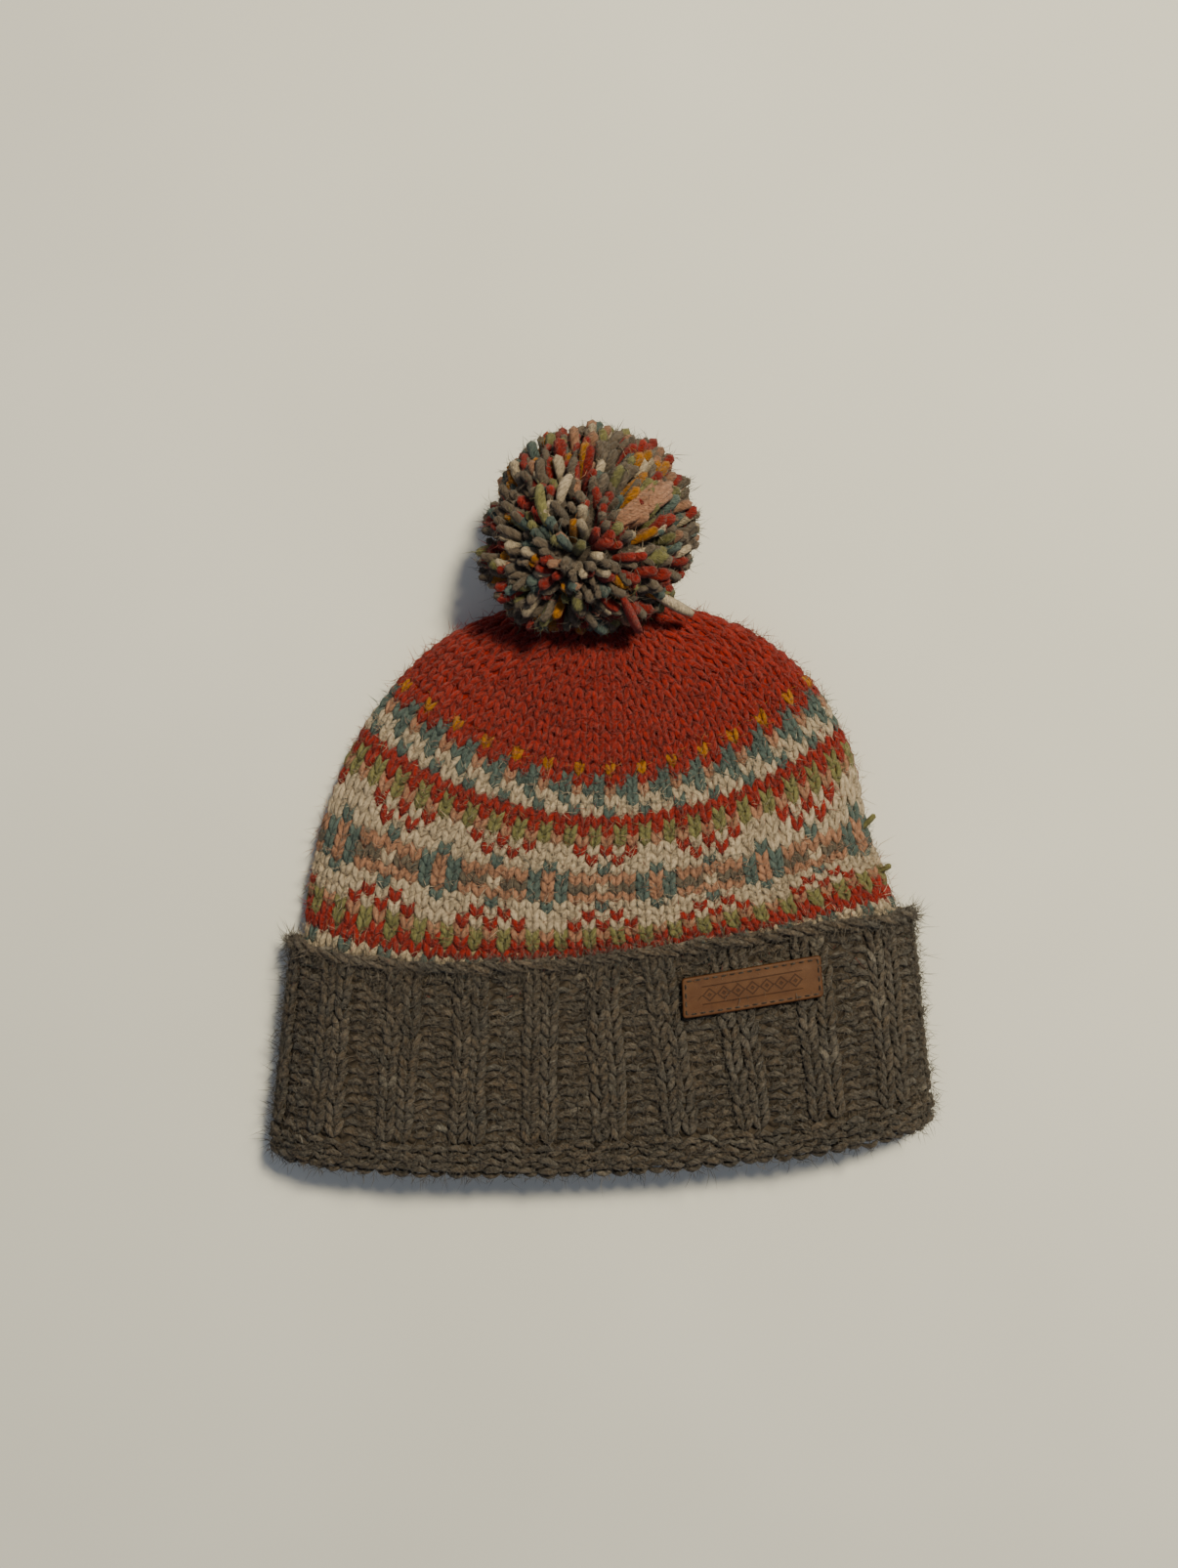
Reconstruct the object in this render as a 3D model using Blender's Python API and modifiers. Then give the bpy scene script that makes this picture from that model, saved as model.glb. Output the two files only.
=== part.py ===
"""Bobble hat, lying on its back with its front up.

A colourwork knit body is gathered to a point at the crown. A ribbed cuff is folded up on
itself round the mouth and carries a small leather patch. A yarn pompom lies beyond the crown,
held by a yarn tie that comes through the gathered point.

Metres, +Z up. +X is the hat's right as seen from its front, +Y runs from the mouth to the
pompom. Y is measured from the fold of the cuff while the pieces are made, and at the end all
of them hang from one empty that puts the origin on the floor under the middle of the hat.
"""

import math
from typing import NamedTuple

import bmesh
import bpy
import numpy as np
from mathutils import Vector
from mathutils.bvhtree import BVHTree

# Ribbed cuff
CUFF_FOLD_WIDTH = 0.2492
CUFF_EDGE_WIDTH = 0.2345
CUFF_DEPTH = 0.0766
CUFF_HEIGHT = 0.0360
CUFF_SIDE_HEIGHT = 0.0118
CUFF_SIDE_RADIUS = 0.0140
CUFF_FOLD_FRONT_DROP = 0.0088
CUFF_FOLD_BACK_DROP = 0.0125
CUFF_EDGE_DROP = 0.0112
CUFF_EDGE_LEAN = 0.75
CUFF_FOLD_TILT = math.radians(2.55)
CUFF_EDGE_TILT = math.radians(2.95)
RIB_WALL = 0.0040
RIB_RELIEF = 0.0012
RIB_COUNT = 20
TURNED_IN_DEPTH = 0.0450

# Knit body
BODY_WIDTH = 0.2158
BODY_LENGTH = 0.1261
BODY_HEIGHT = 0.0335
BODY_SIDE_RADIUS = 0.0080
KNIT_WALL = 0.0040
GATHER_RELIEF = 0.0011
GATHER_COUNT = 8
GATHER_FROM = 0.55
GATHER_GROWS_OVER = 0.30
GATHER_FADES_OVER = 0.12
HOLE_UP_DOME = 0.2
DENTS_FROM_HEIGHT = 0.5
DENTS_FULL_OVER = 0.25

# Pompom and its tie
POMPOM_RADIUS = 0.0378
POMPOM_HEAD_RADIUS = 0.0255
POMPOM_REACH = 0.0231
POMPOM_SHIFT = -0.0032
POMPOM_LOCK_COUNT = 76
LOCK_ROOT_RADIUS = 0.0042
LOCK_TIP_RADIUS = 0.0069
LOCK_ROOT_SHARE = 0.9
LOCK_SHORTEST = 0.82
LOCK_STEP_BACK = 0.0005
TIE_RADIUS = 0.0016
TIE_PLAY = 0.0036
TIE_KNOT_RADIUS = 0.0050
TIE_TILT = math.radians(20)

# Leather patch
PATCH_WIDTH = 0.0509
PATCH_DEPTH = 0.0146
PATCH_THICKNESS = 0.0018
PATCH_FROM_MIDDLE = 0.0545
PATCH_BELOW_EDGE = 0.0130
PATCH_TURN = math.radians(0.6)

# Clearances
LAYER_GAP = 0.0006
TUCK_GAP = 0.0010
JOIN_GAP = 0.0030
SEAT_GAP = 0.0003
FLOOR_GAP = 0.0002
SETTLE = 0.0003

# Facets
SECTION_STEPS = 1440
BODY_COLUMNS = 56
BODY_CORNER_WEIGHT = 0.35
ROWS_BETWEEN_KEYS = 1
POINTS_PER_RIB = 4
CUFF_FLAT_STEPS = 3
CUFF_FOLD_STEPS = 4
PATCH_COLUMNS = 9
PATCH_ROWS = 4
LOCK_SIDES = 6
LOCK_SEED = 7
HEAD_DETAIL_COUNT = 3
TIE_SIDES = 12
KNOT_DETAIL_COUNT = 2
SHARP_ANGLE = math.radians(50)

# Colours
KNIT_RED = (0.36, 0.09, 0.06)
RIB_GREY = (0.055, 0.045, 0.036)
POMPOM_BROWN = (0.20, 0.15, 0.12)
TIE_BROWN = (0.30, 0.24, 0.20)
LEATHER_TAN = (0.32, 0.15, 0.06)

COLLECTION = "bobble_hat"
CUTTERS = "bobble_hat_cutters"


class Row(NamedTuple):
    """One knit row right round the hat, as shares of the sizes that it follows.

    along: place along the length at the side edges. width: half width. shift: sideways, of the
    half width. front_drop and back_drop: how far the row's middle hangs towards the mouth, of
    the length. lean: how far that hang leans to -X. tilt: turn in plan. lift: height of the
    underside. side: height of the side edge above the underside. dome: height of the front
    above the side edge. The last three are shares of the height.
    """

    along: float
    width: float
    shift: float
    front_drop: float
    back_drop: float
    lean: float
    tilt: float
    lift: float
    side: float
    dome: float


class Sizes(NamedTuple):
    """What the shares of a row are of, and how round its side edges are above their level."""

    width: float
    length: float
    height: float
    side_radius: float


class Dent(NamedTuple):
    """A hollow pressed into the front: its middle and reach as shares of the half width."""

    across: float
    along: float
    reach: float
    depth: float


BODY_SIZES = Sizes(BODY_WIDTH, BODY_LENGTH, BODY_HEIGHT, BODY_SIDE_RADIUS)

# From just above the cuff to the gathered point.
BODY_ROWS = (
    Row(0.164, 1.000, -0.020, 0.155, 0.130, 0.2, 0.037, 0.020, 0.240, 0.735),
    Row(0.305, 0.954, -0.026, 0.152, 0.125, 0.0, 0.000, 0.004, 0.240, 0.756),
    Row(0.550, 0.870, -0.004, 0.247, 0.200, 0.0, 0.000, 0.000, 0.240, 0.760),
    Row(0.767, 0.709, 0.014, 0.270, 0.215, 0.0, 0.000, 0.005, 0.255, 0.705),
    Row(0.896, 0.524, 0.014, 0.226, 0.150, 0.0, 0.000, 0.060, 0.270, 0.620),
    Row(0.978, 0.250, 0.000, 0.155, 0.060, 0.0, 0.000, 0.220, 0.250, 0.420),
    Row(0.998, 0.111, -0.014, 0.063, -0.010, 0.0, 0.000, 0.360, 0.190, 0.240),
)

# Places across are measured from the middle, places along from the fold.
FRONT_DENTS = (
    Dent(-0.30, 1.52, 0.17, 0.0030),
    Dent(0.26, 1.40, 0.20, 0.0016),
    Dent(-0.62, 1.05, 0.22, 0.0014),
)


def rounded_section(half_width, lift, side, dome, side_radius):
    """Closed cross-section as dense (x, z) rows from the front's middle towards +X.

    Both halves follow |x / half width|^k + (z / height)^2 = 1. The power k makes the side edge
    as round as asked: the side radius above its level, and the side's own height below, so the
    back lies flat.
    """
    turn = np.linspace(0, 2 * math.pi, SECTION_STEPS, endpoint=False)
    across, up = np.sin(turn), np.cos(turn)
    power_above = max(2.0, 2 * half_width * side_radius / dome**2)
    power_below = max(2.0, 2 * half_width / side)
    power = np.where(up >= 0, 2 / power_above, 2 / power_below)
    x = half_width * np.sign(across) * np.abs(across) ** power
    z = lift + side + np.where(up >= 0, dome, side) * up
    return x, z


def around(values, at, shares):
    """A closed curve's values read at shares of its length."""
    return np.interp(shares, np.append(at, 1.0), np.append(values, values[0]), period=1.0)


def row_section(row, sizes):
    """The cross-section of a row."""
    return rounded_section(
        row.width * sizes.width / 2,
        row.lift * sizes.height,
        row.side * sizes.height,
        row.dome * sizes.height,
        sizes.side_radius,
    )


def paced_places(x, z, corner_weight):
    """Where each point of a closed curve lies, from 0 to 1: by plain length at a corner weight
    of 0, and more by how much the curve bends at a higher one."""
    step_x, step_z = np.roll(x, -1) - x, np.roll(z, -1) - z
    step = np.hypot(step_x, step_z)
    heading = np.unwrap(np.arctan2(step_z, step_x))
    bend = np.abs(np.diff(heading, append=heading[0] - 2 * math.pi))
    pace = (1 - corner_weight) * step / step.sum() + corner_weight * bend / bend.sum()
    return np.append(0.0, np.cumsum(pace)[:-1])


def ring(row, sizes, shares, depth=0.0, corner_weight=0.0, start=0.0):
    """Points of one row: (n, 3) at the given shares of its length, set in by depth."""
    half_width = row.width * sizes.width / 2
    x, z = row_section(row, sizes)
    tangent_x, tangent_z = np.roll(x, -1) - np.roll(x, 1), np.roll(z, -1) - np.roll(z, 1)
    span = np.hypot(tangent_x, tangent_z)
    at = paced_places(x, z, corner_weight)
    normal_x, normal_z = around(-tangent_z / span, at, shares), around(tangent_x / span, at, shares)
    x, z = around(x, at, shares), around(z, at, shares)
    front = z >= (row.lift + row.side) * sizes.height
    share_of_width = x / half_width
    hang = np.where(front, row.front_drop, row.back_drop) * sizes.length
    hang *= (1 - share_of_width**2) * (1 - row.lean * share_of_width)
    y = start + row.along * sizes.length - hang + math.tan(row.tilt) * x
    inward = np.asarray(depth)
    points = (x + row.shift * half_width - normal_x * inward, y, z - normal_z * inward)
    return np.stack(np.broadcast_arrays(*points), axis=-1)


def fold_radius():
    """Radius of the fold's outer face between the two layers of ribbing."""
    return RIB_WALL + LAYER_GAP / 2


def fold_line():
    """Where the flat of the ribbing begins, counted from the bottom of the fold."""
    return fold_radius() + RIB_RELIEF


def join_up():
    """How far up the flat of the cuff the turned-in ribbing meets the body."""
    return (TURNED_IN_DEPTH - fold_line()) / (CUFF_DEPTH - fold_line())


def cuff_key_rings(shares, depth=0.0):
    """The cuff's outer surface at its fold line and at its cast-off edge."""
    side = CUFF_SIDE_HEIGHT / CUFF_HEIGHT
    fold = Row(
        fold_line() / CUFF_DEPTH, 1.0, 0.0, CUFF_FOLD_FRONT_DROP / CUFF_DEPTH,
        CUFF_FOLD_BACK_DROP / CUFF_DEPTH, 0.0, CUFF_FOLD_TILT, 0.0, side, 1 - side,
    )
    edge_drop = CUFF_EDGE_DROP / CUFF_DEPTH
    edge = Row(
        1.0, 1.0, 0.0, edge_drop, edge_drop, CUFF_EDGE_LEAN, CUFF_EDGE_TILT, 0.0, side, 1 - side
    )
    at_fold = Sizes(CUFF_FOLD_WIDTH, CUFF_DEPTH, CUFF_HEIGHT, CUFF_SIDE_RADIUS)
    at_edge = Sizes(CUFF_EDGE_WIDTH, CUFF_DEPTH, CUFF_HEIGHT, CUFF_SIDE_RADIUS)
    return ring(fold, at_fold, shares, depth), ring(edge, at_edge, shares, depth)


def cuff_surface(shares, up, depth=0.0):
    """Points on the cuff's outer surface: up is 0 at the fold and 1 at the cast-off edge."""
    fold, edge = cuff_key_rings(shares, depth)
    up = np.asarray(up)[..., None]
    return fold * (1 - up) + edge * up


def smooth_rows(keys, between):
    """Key rings with curved rings put in between them: a cubic through all of them, whose
    slope at each ring is the average of its neighbours'."""
    keys = np.asarray(keys)
    gaps = np.linalg.norm(np.diff(keys, axis=0), axis=-1).mean(axis=-1)
    at = np.append(0.0, np.cumsum(gaps))
    slopes = np.gradient(keys, at, axis=0)
    rows = []
    for low in range(len(keys) - 1):
        for share in np.arange(between + 1) / (between + 1):
            a, b = share**3, share**2
            rows.append(
                (2 * a - 3 * b + 1) * keys[low]
                + (a - 2 * b + share) * gaps[low] * slopes[low]
                + (3 * b - 2 * a) * keys[low + 1]
                + (a - b) * gaps[low] * slopes[low + 1]
            )
    rows.append(keys[-1])
    return np.asarray(rows)


def press_dents(points):
    """Lowers the front round each dent by a bell curve of the distance from its middle."""
    half_width = BODY_WIDTH / 2
    height = points[..., 2] / BODY_HEIGHT
    front = np.clip((height - DENTS_FROM_HEIGHT) / DENTS_FULL_OVER, 0, 1)
    for dent in FRONT_DENTS:
        across = points[..., 0] / half_width - dent.across
        along = points[..., 1] / half_width - dent.along
        away = (across**2 + along**2) / dent.reach**2
        points[..., 2] -= front * dent.depth * np.exp(-away)
    return points


def body_surface():
    """The body's outer surface as rows of points, from under the cuff to the gathered point."""
    even = np.arange(BODY_COLUMNS) / BODY_COLUMNS
    free = [
        ring(row, BODY_SIZES, even, corner_weight=BODY_CORNER_WEIGHT, start=CUFF_DEPTH)
        for row in BODY_ROWS
    ]
    centre, _ = tie_line()
    turn = 2 * math.pi * even
    radius = TIE_RADIUS + TIE_PLAY
    hole = np.stack(
        (
            centre.x + radius * np.sin(turn),
            centre.y - radius * np.cos(turn) * math.sin(TIE_TILT),
            centre.z + radius * np.cos(turn) * math.cos(TIE_TILT),
        ),
        axis=-1,
    )
    rows = smooth_rows(free + [hole], ROWS_BETWEEN_KEYS)
    along = np.linspace(0, 1, len(rows))
    gathered = np.clip((along - GATHER_FROM) / GATHER_GROWS_OVER, 0, 1)
    gathered *= np.clip((1 - along) / GATHER_FADES_OVER, 0, 1)
    middle = rows.mean(axis=1, keepdims=True)
    outward = rows - middle
    outward /= np.linalg.norm(outward, axis=-1, keepdims=True)
    wave = GATHER_RELIEF * np.cos(GATHER_COUNT * turn)
    rows += outward * wave[None, :, None] * gathered[:, None, None]
    rows = press_dents(rows)
    place = section_shares(even)
    depth = RIB_RELIEF + RIB_WALL + TUCK_GAP
    tucked = [
        cuff_surface(place, np.full(BODY_COLUMNS, up), depth)
        for up in (join_up(), (join_up() + 1) / 2, 1.0)
    ]
    tucked[0][:, 1] += JOIN_GAP
    rows = np.concatenate((tucked, rows))
    rows[..., 2] = np.maximum(rows[..., 2], FLOOR_GAP)
    return rows


def section_shares(even):
    """Shares of plain length at which the body's corner-weighted columns lie."""
    section = row_section(BODY_ROWS[0], BODY_SIZES)
    plain = paced_places(*section, 0.0)
    weighted = paced_places(*section, BODY_CORNER_WEIGHT)
    return np.interp(even, np.append(weighted, 1.0), np.append(plain, 1.0))


def tie_line():
    """Middle of the crown's hole, and the way the tie leaves it."""
    last = BODY_ROWS[-1]
    centre = Vector(
        (
            last.shift * last.width * BODY_WIDTH / 2,
            CUFF_DEPTH + BODY_LENGTH,
            (last.lift + last.side + HOLE_UP_DOME * last.dome) * BODY_HEIGHT,
        )
    )
    return centre, Vector((0, math.cos(TIE_TILT), math.sin(TIE_TILT)))


def pompom_centre():
    """The pompom lies beyond the gathered point, on the floor."""
    centre, _ = tie_line()
    return Vector((POMPOM_SHIFT, centre.y + POMPOM_REACH, POMPOM_RADIUS - FLOOR_GAP))


def plain_material(name, colour, roughness):
    """A matt Principled material."""
    material = bpy.data.materials.new(name)
    material.use_nodes = True
    shader = material.node_tree.nodes["Principled BSDF"]
    shader.inputs["Base Color"].default_value = (*colour, 1)
    shader.inputs["Roughness"].default_value = roughness
    shader.inputs["Metallic"].default_value = 0.0
    material.diffuse_color = (*colour, 1)
    return material


def add_object(name, mesh, material, collection):
    """Puts a mesh into the scene under its own name and material."""
    made = bpy.data.objects.new(name, mesh)
    mesh.materials.append(material)
    collection.objects.link(made)
    return made


def grid_mesh(name, points, closed):
    """A mesh from rows of points, joined end to start in each row where closed."""
    rows, columns = points.shape[:2]
    index = np.arange(rows * columns).reshape(rows, columns)
    right = np.roll(index, -1, axis=1)
    if not closed:
        index, right = index[:, :-1], right[:, :-1]
    faces = np.stack((index[:-1], right[:-1], right[1:], index[1:]), axis=-1).reshape(-1, 4)
    mesh = bpy.data.meshes.new(name)
    mesh.from_pydata(points.reshape(-1, 3).tolist(), [], faces.tolist())
    mesh.update()
    return mesh


def add_wall(made, thickness, offset):
    """Gives an open surface its thickness."""
    wall = made.modifiers.new("wall", "SOLIDIFY")
    wall.thickness = thickness
    wall.offset = offset
    wall.use_even_offset = False
    wall.use_rim = True
    return wall


def shade_round(mesh):
    """Smooth shading with sharp edges kept."""
    mesh.shade_smooth()
    mesh.set_sharp_from_angle(angle=SHARP_ANGLE)


def make_body(collection):
    """The colourwork body, an open surface with a wall on its inner side."""
    mesh = grid_mesh("crown_body", body_surface(), closed=True)
    shade_round(mesh)
    material = plain_material("colourwork_knit", KNIT_RED, 0.9)
    body = add_object("crown_body", mesh, material, collection)
    add_wall(body, KNIT_WALL, -1)
    return body


def rib_wave(count):
    """Height of the skin above the hollows between ribs, one value for each column: two points
    on a rib's crest and two in the hollow beside it."""
    crest = (np.arange(count) // (POINTS_PER_RIB // 2)) % 2 == 0
    return np.where(crest, RIB_RELIEF, 0.0)


def cuff_profile():
    """The folded ribbing from the cast-off edge down, round the fold and up inside: rows of
    (up, y offset, depth, outward y, outward depth)."""
    turn_radius = fold_radius()
    rows = [(up, 0.0, 0.0, 0.0, -1.0) for up in np.linspace(1, 0, CUFF_FLAT_STEPS + 1)]
    for angle in np.linspace(0, math.pi, CUFF_FOLD_STEPS + 1)[1:-1]:
        away, across = math.sin(angle), math.cos(angle)
        rows.append((0.0, -turn_radius * away, turn_radius * (1 - across), -away, -across))
    for up in np.linspace(0, join_up(), CUFF_FLAT_STEPS):
        rows.append((up, 0.0, 2 * turn_radius, 0.0, 1.0))
    return rows


def make_cuff(collection):
    """The folded ribbing: its whole visible skin, with the wall on the hidden side."""
    count = RIB_COUNT * POINTS_PER_RIB
    shares = (np.arange(count) + 0.5) / count
    wave = rib_wave(count)
    rows = []
    for up, out_y, depth, wave_y, wave_depth in cuff_profile():
        set_in = RIB_RELIEF + depth + wave * wave_depth
        points = cuff_surface(shares, np.full(count, up), set_in)
        points[:, 1] += out_y + wave * wave_y
        rows.append(points)
    rows = np.asarray(rows)
    rows[..., 2] = np.where(rows[..., 2] < SETTLE, 0.0, rows[..., 2])
    mesh = grid_mesh("ribbed_cuff", rows[:, ::-1], closed=True)
    shade_round(mesh)
    material = plain_material("marl_rib", RIB_GREY, 0.92)
    cuff = add_object("ribbed_cuff", mesh, material, collection)
    add_wall(cuff, RIB_WALL, -1)
    return cuff


def add_cutter(made, name, mesh, material, cutters):
    """Fuses a helper mesh to a piece by an exact union, and keeps the helper out of sight."""
    tool = add_object(name, mesh, material, cutters)
    tool.hide_render = True
    tool.display_type = "WIRE"
    fuse = made.modifiers.new(name, "BOOLEAN")
    fuse.operation = "UNION"
    fuse.solver = "EXACT"
    fuse.object = tool
    return fuse


def mesh_from(work, name):
    """Turns finished working geometry into a mesh and frees it."""
    mesh = bpy.data.meshes.new(name)
    work.to_mesh(mesh)
    work.free()
    return mesh


def lock_directions():
    """Even directions on a sphere by the golden angle, with +Y among them."""
    number = np.arange(POMPOM_LOCK_COUNT)
    along = 1 - 2 * number / (POMPOM_LOCK_COUNT - 1)
    around_axis = number * math.pi * (3 - math.sqrt(5))
    across = np.sqrt(1 - along**2)
    return np.stack((across * np.cos(around_axis), along, across * np.sin(around_axis)), axis=-1)


def add_lock(work, centre, direction, reach):
    """One lock: a short tapered prism, widest near its blunt tip, rooted inside the head."""
    root = POMPOM_HEAD_RADIUS * LOCK_ROOT_SHARE
    share = (reach - root) / (POMPOM_RADIUS - root)
    tip_radius = LOCK_ROOT_RADIUS + (LOCK_TIP_RADIUS - LOCK_ROOT_RADIUS) * share
    turned = direction.to_track_quat("Z", "Y").to_matrix().to_4x4()
    turned.translation = centre + direction * (root + reach) / 2
    bmesh.ops.create_cone(
        work, cap_ends=True, cap_tris=False, segments=LOCK_SIDES,
        radius1=LOCK_ROOT_RADIUS, radius2=tip_radius, depth=reach - root, matrix=turned,
    )


def lock_reach(centre, direction, tree):
    """How far a lock can stand out before it meets the crown or the floor."""
    reach = POMPOM_RADIUS
    while reach > POMPOM_HEAD_RADIUS:
        tip = centre + direction * reach
        side = LOCK_TIP_RADIUS * math.sqrt(max(0.0, 1 - direction.z**2))
        near, normal, _, _ = tree.find_nearest(tip)
        clear = (tip - near).dot(normal) > LOCK_TIP_RADIUS + SEAT_GAP
        if clear and tip.z - side >= FLOOR_GAP:
            return reach
        reach -= LOCK_STEP_BACK
    return None


def make_pompom(collection, cutters, body):
    """A dense head with blunt locks all round, fused to it by a Boolean union."""
    centre = pompom_centre()
    tree = BVHTree.FromPolygons(
        [vertex.co for vertex in body.data.vertices],
        [tuple(face.vertices) for face in body.data.polygons],
    )
    work = bmesh.new()
    bmesh.ops.create_icosphere(work, subdivisions=HEAD_DETAIL_COUNT, radius=POMPOM_HEAD_RADIUS)
    bmesh.ops.translate(work, verts=work.verts, vec=centre)
    head = mesh_from(work, "pompom")
    rng = np.random.default_rng(LOCK_SEED)
    work = bmesh.new()
    for direction in lock_directions():
        direction = Vector(direction)
        reach = lock_reach(centre, direction, tree)
        if reach is None:
            continue
        spare = reach - POMPOM_HEAD_RADIUS
        if direction.y < 1:
            spare *= rng.uniform(LOCK_SHORTEST, 1.0)
        add_lock(work, centre, direction, POMPOM_HEAD_RADIUS + spare)
    locks = mesh_from(work, "pompom_locks")
    material = plain_material("pompom_wool", POMPOM_BROWN, 0.95)
    pompom = add_object("pompom", head, material, collection)
    fuse = add_cutter(pompom, "pompom_locks", locks, material, cutters)
    fuse.use_self = True
    return pompom


def make_tie(collection, cutters):
    """The yarn stem through the crown's hole, with a knot inside and the pompom outside."""
    hole, way = tie_line()
    gap_to_head = (pompom_centre() - hole).length - POMPOM_HEAD_RADIUS
    outer = gap_to_head - SEAT_GAP
    inner = KNIT_WALL + TIE_PLAY + TIE_KNOT_RADIUS
    turned = way.to_track_quat("Z", "Y").to_matrix().to_4x4()
    turned.translation = hole + way * (outer - inner) / 2
    work = bmesh.new()
    bmesh.ops.create_cone(
        work, cap_ends=True, cap_tris=False, segments=TIE_SIDES,
        radius1=TIE_RADIUS, radius2=TIE_RADIUS, depth=outer + inner, matrix=turned,
    )
    stem = mesh_from(work, "pompom_tie")
    work = bmesh.new()
    bmesh.ops.create_icosphere(work, subdivisions=KNOT_DETAIL_COUNT, radius=TIE_KNOT_RADIUS)
    bmesh.ops.translate(work, verts=work.verts, vec=hole - way * inner)
    knot = mesh_from(work, "tie_knot")
    material = plain_material("tie_yarn", TIE_BROWN, 0.9)
    tie = add_object("pompom_tie", stem, material, collection)
    add_cutter(tie, "tie_knot", knot, material, cutters)
    return tie


def front_length(up):
    """Length round the cuff at a height, for turning distances into shares."""
    shares = np.linspace(0, 1, 241)
    points = cuff_surface(shares % 1, np.full(len(shares), up))
    return np.linalg.norm(np.diff(points, axis=0), axis=-1).sum()


def make_patch(collection):
    """The leather patch: a thin plate that follows the cuff's front, on the crests of the ribs."""
    across, down = np.meshgrid(
        np.linspace(-PATCH_WIDTH / 2, PATCH_WIDTH / 2, PATCH_COLUMNS),
        np.linspace(-PATCH_DEPTH / 2, PATCH_DEPTH / 2, PATCH_ROWS),
    )
    turned_across = across * math.cos(PATCH_TURN) - down * math.sin(PATCH_TURN)
    turned_up = across * math.sin(PATCH_TURN) + down * math.cos(PATCH_TURN)
    flat = CUFF_DEPTH - fold_line()
    up = 1 - (PATCH_BELOW_EDGE - turned_up) / flat
    middle_up = 1 - PATCH_BELOW_EDGE / flat
    shares = (PATCH_FROM_MIDDLE + turned_across) / front_length(middle_up)
    points = cuff_surface(shares, up, -SEAT_GAP)
    mesh = grid_mesh("leather_patch", points, closed=False)
    material = plain_material("patch_leather", LEATHER_TAN, 0.55)
    patch = add_object("leather_patch", mesh, material, collection)
    add_wall(patch, PATCH_THICKNESS, 1)
    return patch


def hang_from_origin(collection):
    """Parents every piece to one empty that centres the hat over the origin, on the floor."""
    bpy.context.view_layer.update()
    graph = bpy.context.evaluated_depsgraph_get()
    corners = []
    for piece in collection.objects:
        mesh = piece.evaluated_get(graph).to_mesh()
        points = np.empty(len(mesh.vertices) * 3, np.float32)
        mesh.vertices.foreach_get("co", points)
        corners.append(points.reshape(-1, 3))
    corners = np.concatenate(corners)
    low, high = corners.min(axis=0), corners.max(axis=0)
    root = bpy.data.objects.new("hat_root", None)
    root.location = (-(low[0] + high[0]) / 2, -(low[1] + high[1]) / 2, -low[2])
    for piece in list(collection.objects):
        piece.parent = root
    collection.objects.link(root)


def new_collection(name):
    """A collection of the scene."""
    made = bpy.data.collections.new(name)
    bpy.context.scene.collection.children.link(made)
    return made


def main():
    """Clears the scene and builds the hat."""
    for old in list(bpy.data.objects):
        bpy.data.objects.remove(old)
    collection, cutters = new_collection(COLLECTION), new_collection(CUTTERS)
    cutters.hide_render = True
    body = make_body(collection)
    make_cuff(collection)
    make_pompom(collection, cutters, body)
    make_tie(collection, cutters)
    make_patch(collection)
    hang_from_origin(collection)
    for tool in cutters.objects:
        tool.parent = bpy.data.objects["hat_root"]


if __name__ == "__main__":
    main()
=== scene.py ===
"""Bobble hat lying on its back on pale paper.

The knitting is built stitch by stitch on smooth surfaces that repeat the shapes of the hat's
parts. A stitch is two plump legs of yarn, a purl stitch is one bump, and the pompom is a ball
of cut yarn ends. Thin closed fibres give the wool its haze.
"""

import logging
import math
from dataclasses import dataclass, field
from enum import Enum

import bpy
import numpy as np
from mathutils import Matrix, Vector

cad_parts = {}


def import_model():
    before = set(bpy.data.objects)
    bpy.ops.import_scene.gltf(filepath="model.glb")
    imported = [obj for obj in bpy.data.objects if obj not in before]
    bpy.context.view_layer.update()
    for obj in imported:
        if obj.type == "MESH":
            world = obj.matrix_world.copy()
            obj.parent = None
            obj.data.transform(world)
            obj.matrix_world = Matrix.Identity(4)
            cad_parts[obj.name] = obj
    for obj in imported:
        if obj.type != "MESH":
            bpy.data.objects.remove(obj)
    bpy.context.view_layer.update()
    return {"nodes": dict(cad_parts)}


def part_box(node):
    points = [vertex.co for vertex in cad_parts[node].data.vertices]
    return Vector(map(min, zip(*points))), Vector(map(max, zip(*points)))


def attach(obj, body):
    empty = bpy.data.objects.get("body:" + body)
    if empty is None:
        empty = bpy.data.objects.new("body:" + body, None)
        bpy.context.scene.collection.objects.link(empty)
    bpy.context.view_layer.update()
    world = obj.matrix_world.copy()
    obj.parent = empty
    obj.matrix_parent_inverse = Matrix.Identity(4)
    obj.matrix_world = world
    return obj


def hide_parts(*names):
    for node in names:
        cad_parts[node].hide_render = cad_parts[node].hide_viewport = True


Array = np.ndarray
Colour = tuple[float, float, float]
Point = tuple[float, float, float]

log = logging.getLogger("bobble_hat")

ROOT = "root"

# The camera's place: beside the hat's middle line, past the cuff's edge, above the floor.
EYE_SIDE = -0.0048
EYE_ALONG = 0.0572
EYE_HEIGHT = 0.620


class Yarn(Enum):
    """The yarns of the hat, each with its colour in linear light."""

    CORAL = (0.214, 0.0115, 0.0065)
    TEAL = (0.070, 0.096, 0.088)
    CREAM = (0.405, 0.310, 0.215)
    SAGE = (0.155, 0.140, 0.052)
    PEACH = (0.290, 0.140, 0.085)
    MUSTARD = (0.330, 0.120, 0.004)
    TAUPE = (0.095, 0.074, 0.055)
    SMOKE = (0.069, 0.052, 0.039)
    ASH = (0.122, 0.089, 0.066)


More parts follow.
